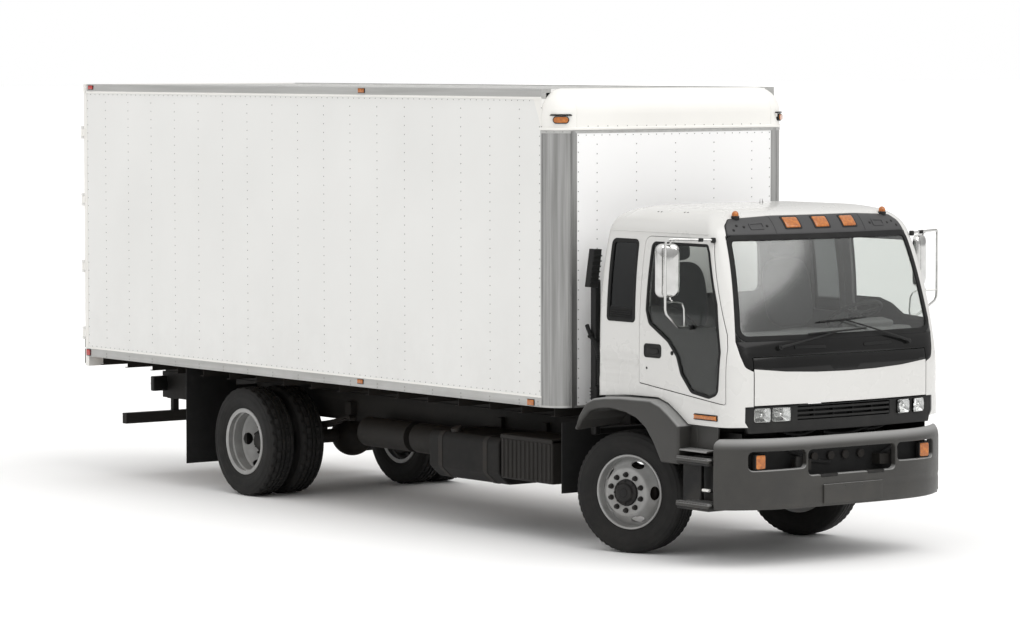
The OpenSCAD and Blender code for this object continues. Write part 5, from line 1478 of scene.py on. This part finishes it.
# ---------- mirrors ----------
for s_, side_ in ((1, "left"), (-1, "right")):
    b = B()
    hx, hz = 96.0, 208.0
    yaw = Matrix.Rotation(math.radians(26), 3, "Z")

    def hd(x, y, z):
        q = yaw @ Vector((x, y, 0))
        return (s_ * (1310 + q.x), -838 + q.y, 2286 + z)
    base = rounded(rect(-hx, hx, -hz, hz), 56, 7)
    n = len(base)
    vs = []
    st = [(0.93, 30), (0.985, 28), (1.0, 22), (1.0, 8), (0.97, -6), (0.90, -17), (0.78, -24), (0.55, -29),
          (0.28, -30.5), (0.1, -31)]
    for k, y in st:
        for x, z in base:
            vs.append(hd(x * k, y, z * (1 - (1 - k) * 0.72)))
    fs = [list(range(n)), [(len(st) - 1) * n + i for i in range(n)]]
    for q in range(len(st) - 1):
        fs += [[q * n + i, q * n + (i + 1) % n, (q + 1) * n + (i + 1) % n, (q + 1) * n + i] for i in range(n)]
    b.add(vs, fs, 0)
    vs = [hd(x * 0.88, y, z * 0.945) for y in (28, 31) for x, z in base]
    b.add(vs, [list(range(n)), [n + i for i in range(n)]] + [[i, (i + 1) % n, n + (i + 1) % n, n + i] for i in range(n)], 2)
    arms = [(1012, -1047, 2521), (1100, -1035, 2526), (1340, -962, 2534), (1386, -944, 2532), (1404, -934, 2518),
            (1408, -930, 2490), (1408, -930, 2040), (1406, -928, 1996), (1392, -922, 1962), (1264, -890, 1866),
            (1238, -882, 1850), (1101, -862, 1844)]
    b.tube([(s_ * x, y, z) for x, y, z in arms], 10, 14, 0)
    b.tube([(s_ * x, y, z) for x, y, z in ((1172, -872, 1850), (1168, -868, 1890), (1176, -872, 1990),
                                         (1196, -876, 2030), (1240, -884, 2044), (1400, -929, 2050))], 7, 10, 0)
    for z in (2524, 2056):
        b.tube([(s_ * 1310, -868, z - 8), (s_ * 1310, -868, z + 8)], 16, 18, 1)
    b.tube([(s_ * 1310, -866, 2490), (s_ * 1310, -880, 2512), (s_ * 1310, -930, 2532)], 8, 12, 0)
    b.tube([(s_ * 1310, -866, 2084), (s_ * 1310, -870, 2066), (s_ * 1312, -904, 2050)], 8, 12, 0)
    b.rb((s_ * 1008, -1060, 2500), (s_ * 1046, -1030, 2540), 6, 1)
    b.rb((s_ * 1120, -1046, 2512), (s_ * 1158, -1010, 2540), 6, 1)
    b.rb((s_ * 1086, -880, 1826), (s_ * 1122, -846, 1862), 6, 1)
    b.make("mirror_%s_head" % side_, "cab_door_" + side_,
           [CHROME, BLKP, GLOSS], angle=45, rep=("mirror_" + side_,), wn=False)

# ---------- wipers ----------
b = B()


def onfront(x, z, d):
    return tuple(frontp(x, z, d))


for px, pz, bx0, bz0, bx1, bz1 in ((-640, 1694, -330, 1792, 195, 1806), (690, 1690, -215, 1880, 200, 1890)):
    ex = (bx0 + bx1) / 2
    ez = (bz0 + bz1) / 2
    b.tube([onfront(px, pz, -8), onfront(px, pz, 30)], 20, 16, 0)
    k = 9
    pts = [onfront(lerp(px, ex, t / k), lerp(pz, ez, t / k), 26 + 10 * math.sin(math.pi * t / k)) for t in range(k + 1)]
    b.tube(pts, [12, 11, 10, 8, 7, 6.5, 6, 6, 6, 6], 10, 0)
    bl = [onfront(lerp(bx0 - 30, bx1 + 30, t / 12), lerp(bz0 - 4, bz1 + 4, t / 12), 17) for t in range(13)]
    b.tube(bl, 7, 8, 0)
    br = [onfront(lerp(bx0 + 40, bx1 - 40, t / 8), lerp(bz0, bz1, t / 8), 27 + 8 * math.sin(math.pi * t / 8))
          for t in range(9)]
    b.tube(br, 5, 8, 0)
b.make("wipers", "cab", [BLKP], wn=False)

# ---------- interior ----------
b = B()
b.prism(rounded([(-1234, 1500), (-1234, 1752), (-1178, 1798), (-1052, 1798), (-992, 1760), (-962, 1602), (-1058, 1482)],
                [5, 20, 30, 30, 40, 40, 20], 4), "x", -898, 898, 14, 0)
b.prism(rounded([(-1140, 1790), (-1150, 1842), (-1010, 1862), (-968, 1820), (-980, 1760)], 20, 4), "x", 350, 750, 12, 0)
for x in (-700, -250, 100):
    b.rb((x - 80, -985, 1700), (x + 80, -955, 1752), 8, 1)
    for k in range(4):
        b.rb((x - 72, -984, 1706 + k * 11), (x + 72, -950, 1710 + k * 11), 1.2, 0)
b.tube([(550, -1040, 1640), (550, -925, 1842)], 30, 20, 1)
b.make("dashboard_top", "cab", [INT, BLKP], angle=50, rep=("dashboard",))


def cushion(b, c, hx, hy, hz, ax=0.0, crown=0.16, p=3.6, seams=(), n=26, mi=0):
    """A crowned closed form: a rounded box whose sides swell, with sewn channels along its length."""
    rot = Matrix.Rotation(ax, 3, "X")
    vs, fs = [], []
    for i in range(n + 1):
        th = math.pi * i / n
        for j in range(2 * n):
            ph = math.pi * j / n
            d = np.array([math.sin(th) * math.cos(ph), math.sin(th) * math.sin(ph), math.cos(th)])
            k = (abs(d[0]) ** p + abs(d[1]) ** p + abs(d[2]) ** p) ** (-1 / p)
            q = d * k
            x, y, z = q[0] * hx, q[1] * hy, q[2] * hz
            # sides pull in between the corners, the top swells
            z *= 1 + crown * (1 - abs(q[0]) ** 2) * (1 - abs(q[1]) ** 2) - crown * 0.5
            for sx, dep in seams:
                z -= math.copysign(dep * math.exp(-((x - sx) / 7.0) ** 2), z) * min(1, abs(q[2]) ** 2)
            z -= math.copysign(3.0 * math.exp(-((abs(q[1]) - 0.86) * hy / 6.0) ** 2), z) * min(1, abs(q[2]) ** 4)
            v = rot @ Vector((x, y, z)) + Vector(c)
            vs.append(tuple(v))
    for i in range(n):
        for j in range(2 * n):
            q = (j + 1) % (2 * n)
            fs.append([i * 2 * n + j, (i + 1) * 2 * n + j, (i + 1) * 2 * n + q, i * 2 * n + q])
    b.add(vs, fs, mi)


for s_, side_ in ((1, "driver"), (-1, "passenger")):
    first = True
    b = B()
    b.rb((s_ * 360, -630, 1312), (s_ * 740, -170, 1560), 20, 0)
    b.rb((s_ * 330, -660, 1540), (s_ * 770, -150, 1604), 14, 0)
    b.rb((s_ * 320, -400, 1600), (s_ * 340, -240, 1700), 8, 0)
    b.make("seat_base_" + side_, "cab", [BLKP], rep=("seats",) if s_ > 0 else ())
    b = B()
    cushion(b, (s_ * 550, -405, 1668), 246, 280, 68, 0.04, seams=((-95, 9), (95, 9)), n=30)
    o = b.make("seat_cushion_" + side_, "cab", [CLOTH], wn=False, merge=0.5)
    b = B()
    cushion(b, (s_ * 550, -85, 2020), 236, 282, 64, math.radians(80), seams=((-90, 9), (90, 9)), n=30)
    o = b.make("seat_back_" + side_, "cab", [CLOTH], wn=False, merge=0.5)
    b = B()
    cushion(b, (s_ * 550, -5, 2390), 128, 82, 44, math.radians(80), n=22)
    o = b.make("head_rest_" + side_, "cab", [CLOTH], wn=False, merge=0.5)
b = B()
b.rb((-238, -618, 1312), (238, -142, 1690), 30, 0)
b.make("engine_cover", "cab", [INT])

# ---------- tanks, boxes and other underbody pieces ----------
b = B()
tank = rounded([(-1088, 500), (-1088, 755), (-1050, 798), (-510, 798), (-472, 765), (-472, 475), (-560, 402), (-980, 402)],
               [50, 50, 40, 40, 40, 50, 60, 60], 5)
b.prism(tank, "y", 1641, 2619, 14, 0, 3)
for y in (1800, 2430):
    b.prism(grow(tank, 4), "y", y, y + 56, 1.5, 1)
    b.rb((-471, y, 560), (-432, y + 60, 878), 4, 0)
b.cyl((-1000, 2330, 780), (-1020, 2330, 836), 46, 28, 5, 1)
b.make("fuel_tank_shell", "truck", [BLACK, IRON], rep=("fuel_tank",))
b = B()
b.rb((-1092, 906, 472), (-700, 1609, 838), 12, 0)
for k in range(12):
    y = 932 + k * 57
    b.rb((-1099, y, 486), (-1088, y + 26, 800), 4, 0)
b.rb((-1098, 906, 800), (-702, 1609, 840), 8, 0)
for y in (1000, 1450):
    b.rb((-701, y, 600), (-432, y + 50, 800), 4, 0)
b.make("battery_box_shell", "truck", [BLACK], rep=("battery_box",))
b = B()
# hoses and lines in the gap between grille and bumper, and pipes behind the cab
for x0, x1, z in ((-560, -120, 1036), (-150, 420, 1020), (180, 620, 1042)):
    pts = [(lerp(x0, x1, t / 10), -1330 - 14 * math.sin(math.pi * t / 10), z - 26 * math.sin(math.pi * t / 10 * 1.5))
           for t in range(11)]
    b.tube(pts, 12, 10, 0)
b.make("under_cab_hoses", "cab", [RUB, IRON])
b = B()
b.rb((-900, -1336, 500), (900, -1328, 960), 3, 0)
for x in (-260, -90, 60, 220):
    b.cyl((x, -1360, 830), (x, -1344, 830), 34, 24, 3, 1)
b.tube([(-640, -1300, 960), (-500, -1345, 880), (-300, -1352, 800), (-100, -1350, 780)], 14, 10, 0)
b.tube([(700, -1290, 960), (560, -1345, 870), (380, -1352, 790)], 14, 10, 0)
b.make("front_hoses", "truck", [RUB, IRON])
b = B()
pts = [(-1000, 571, 1783), (-1000, 548, 1745), (-1000, 524, 1706), (-998, 500, 1672), (-990, 470, 1640)]
b.tube(pts, 17, 12, 0)
b.tube([(-990, 470, 1640), (-985, 440, 1580), (-985, 420, 1500), (-990, 412, 1400), (-990, 410, 1310)], 26, 14, 0)
for k in range(16):
    z = 1310 + k * 16
    b.tube([(-989, 411, z), (-989, 411, z + 7)], 31, 14, 0)
b.cyl((-1000, 524, 1706), (-1000, 514, 1692), 27, 18, 3, 0)
b.rb((-1040, 395, 1150), (-940, 450, 1300), 10, 0)
b.make("lift_handle_and_boot", "truck", [RUB], wn=False)

b = B()
b.rb((-(HW - 47), 880, 1111), (HW - 47, 7930, 1147), 3, 0)
b.rb((-1015, 726, 1111), (1015, 879, 1147), 3, 0)
SILLS = 17
for i in range(SILLS):
    y = BY0 + 120 + i * (BY1 - BY0 - 330) / (SILLS - 1)
    # a channel section, open to the rear
    b.prism([(y, 1035), (y + 50, 1035), (y + 50, 1041), (y + 6, 1041), (y + 6, 1104), (y + 50, 1104), (y + 50, 1110),
             (y, 1110)], "x", -(HW - 67), HW - 67, 1, 1, 1)
for s_ in (-1, 1):
    b.rb((s_ * 365, 740, 940), (s_ * 420, 7860, 1034), 4, 1)
b.make("deck_and_sills", "truck", [WOOD, BLACK], rep=("box_floor",))

b = B()
b.prism([(-1092, 2096), (-1004, 2088), (-962, 2396), (-1046, 2400)], "y", 420, 486, 8, 0)
for k in range(6):
    z = 2130 + k * 42
    x = -1088 + (z - 2096) * 0.15
    b.prism([(x, z), (x + 84, z - 3), (x + 86, z + 9), (x + 2, z + 12)], "y", 413, 423, 2, 0, 1)
b.rb((-986, 478, 902), (-926, 548, 2150), 10, 0)
for k in range(9):
    b.rb((-990, 474, 1060 + k * 26), (-922, 552, 1072 + k * 26), 4, 0)
b.rb((-960, 522, 902), (-431, 578, 958), 10, 0)
b.cyl((650, 1152, 700), (650, 1708, 700), 186, 56, 14, 0)
for y in (1252, 1400, 1582):
    b.cyl((650, y, 700), (650, y + 36, 700), 189.5, 56, 2, 0)
for y in (1250, 1580):
    b.rb((431, y, 640), (480, y + 40, 780), 4, 0)
b.cyl((650, 1146, 700), (650, 1156, 700), 60, 24, 3, 0)
b.make("air_intake", "truck", [BLKP], rep=("air_cleaner",))

# ---------- finishes on the CAD nodes ----------
for n_, m_ in {
    "chassis_frame": BLACK, "front_axle": IRON, "leaf_springs": IRON, "rear_axle": IRON, "driveshaft": IRON,
    "engine_block": IRON, "radiator": BLACK, "air_cleaner": BLKP, "exhaust_muffler": EXH, "air_tanks": BLACK,
    "mudflaps": RUB, "underride_guard": BLACK, "box_floor": WOOD, "box_side_left": PANEL, "box_side_right": PANEL,
    "box_front_wall": FRONT_WALL_LIT, "box_roof": PANEL, "box_corner_posts": ALU, "box_nose": NOSE, "box_rails": ALUH,
    "rear_frame": NOSE, "rear_door_left": PANEL, "rear_door_right": PANEL, "cab_floor": BLKP,
    "steering_wheel": BLKP, "knuckle_left": IRON, "knuckle_right": IRON, "tie_rod": IRON,
}.items():
    setmat(n_, m_)
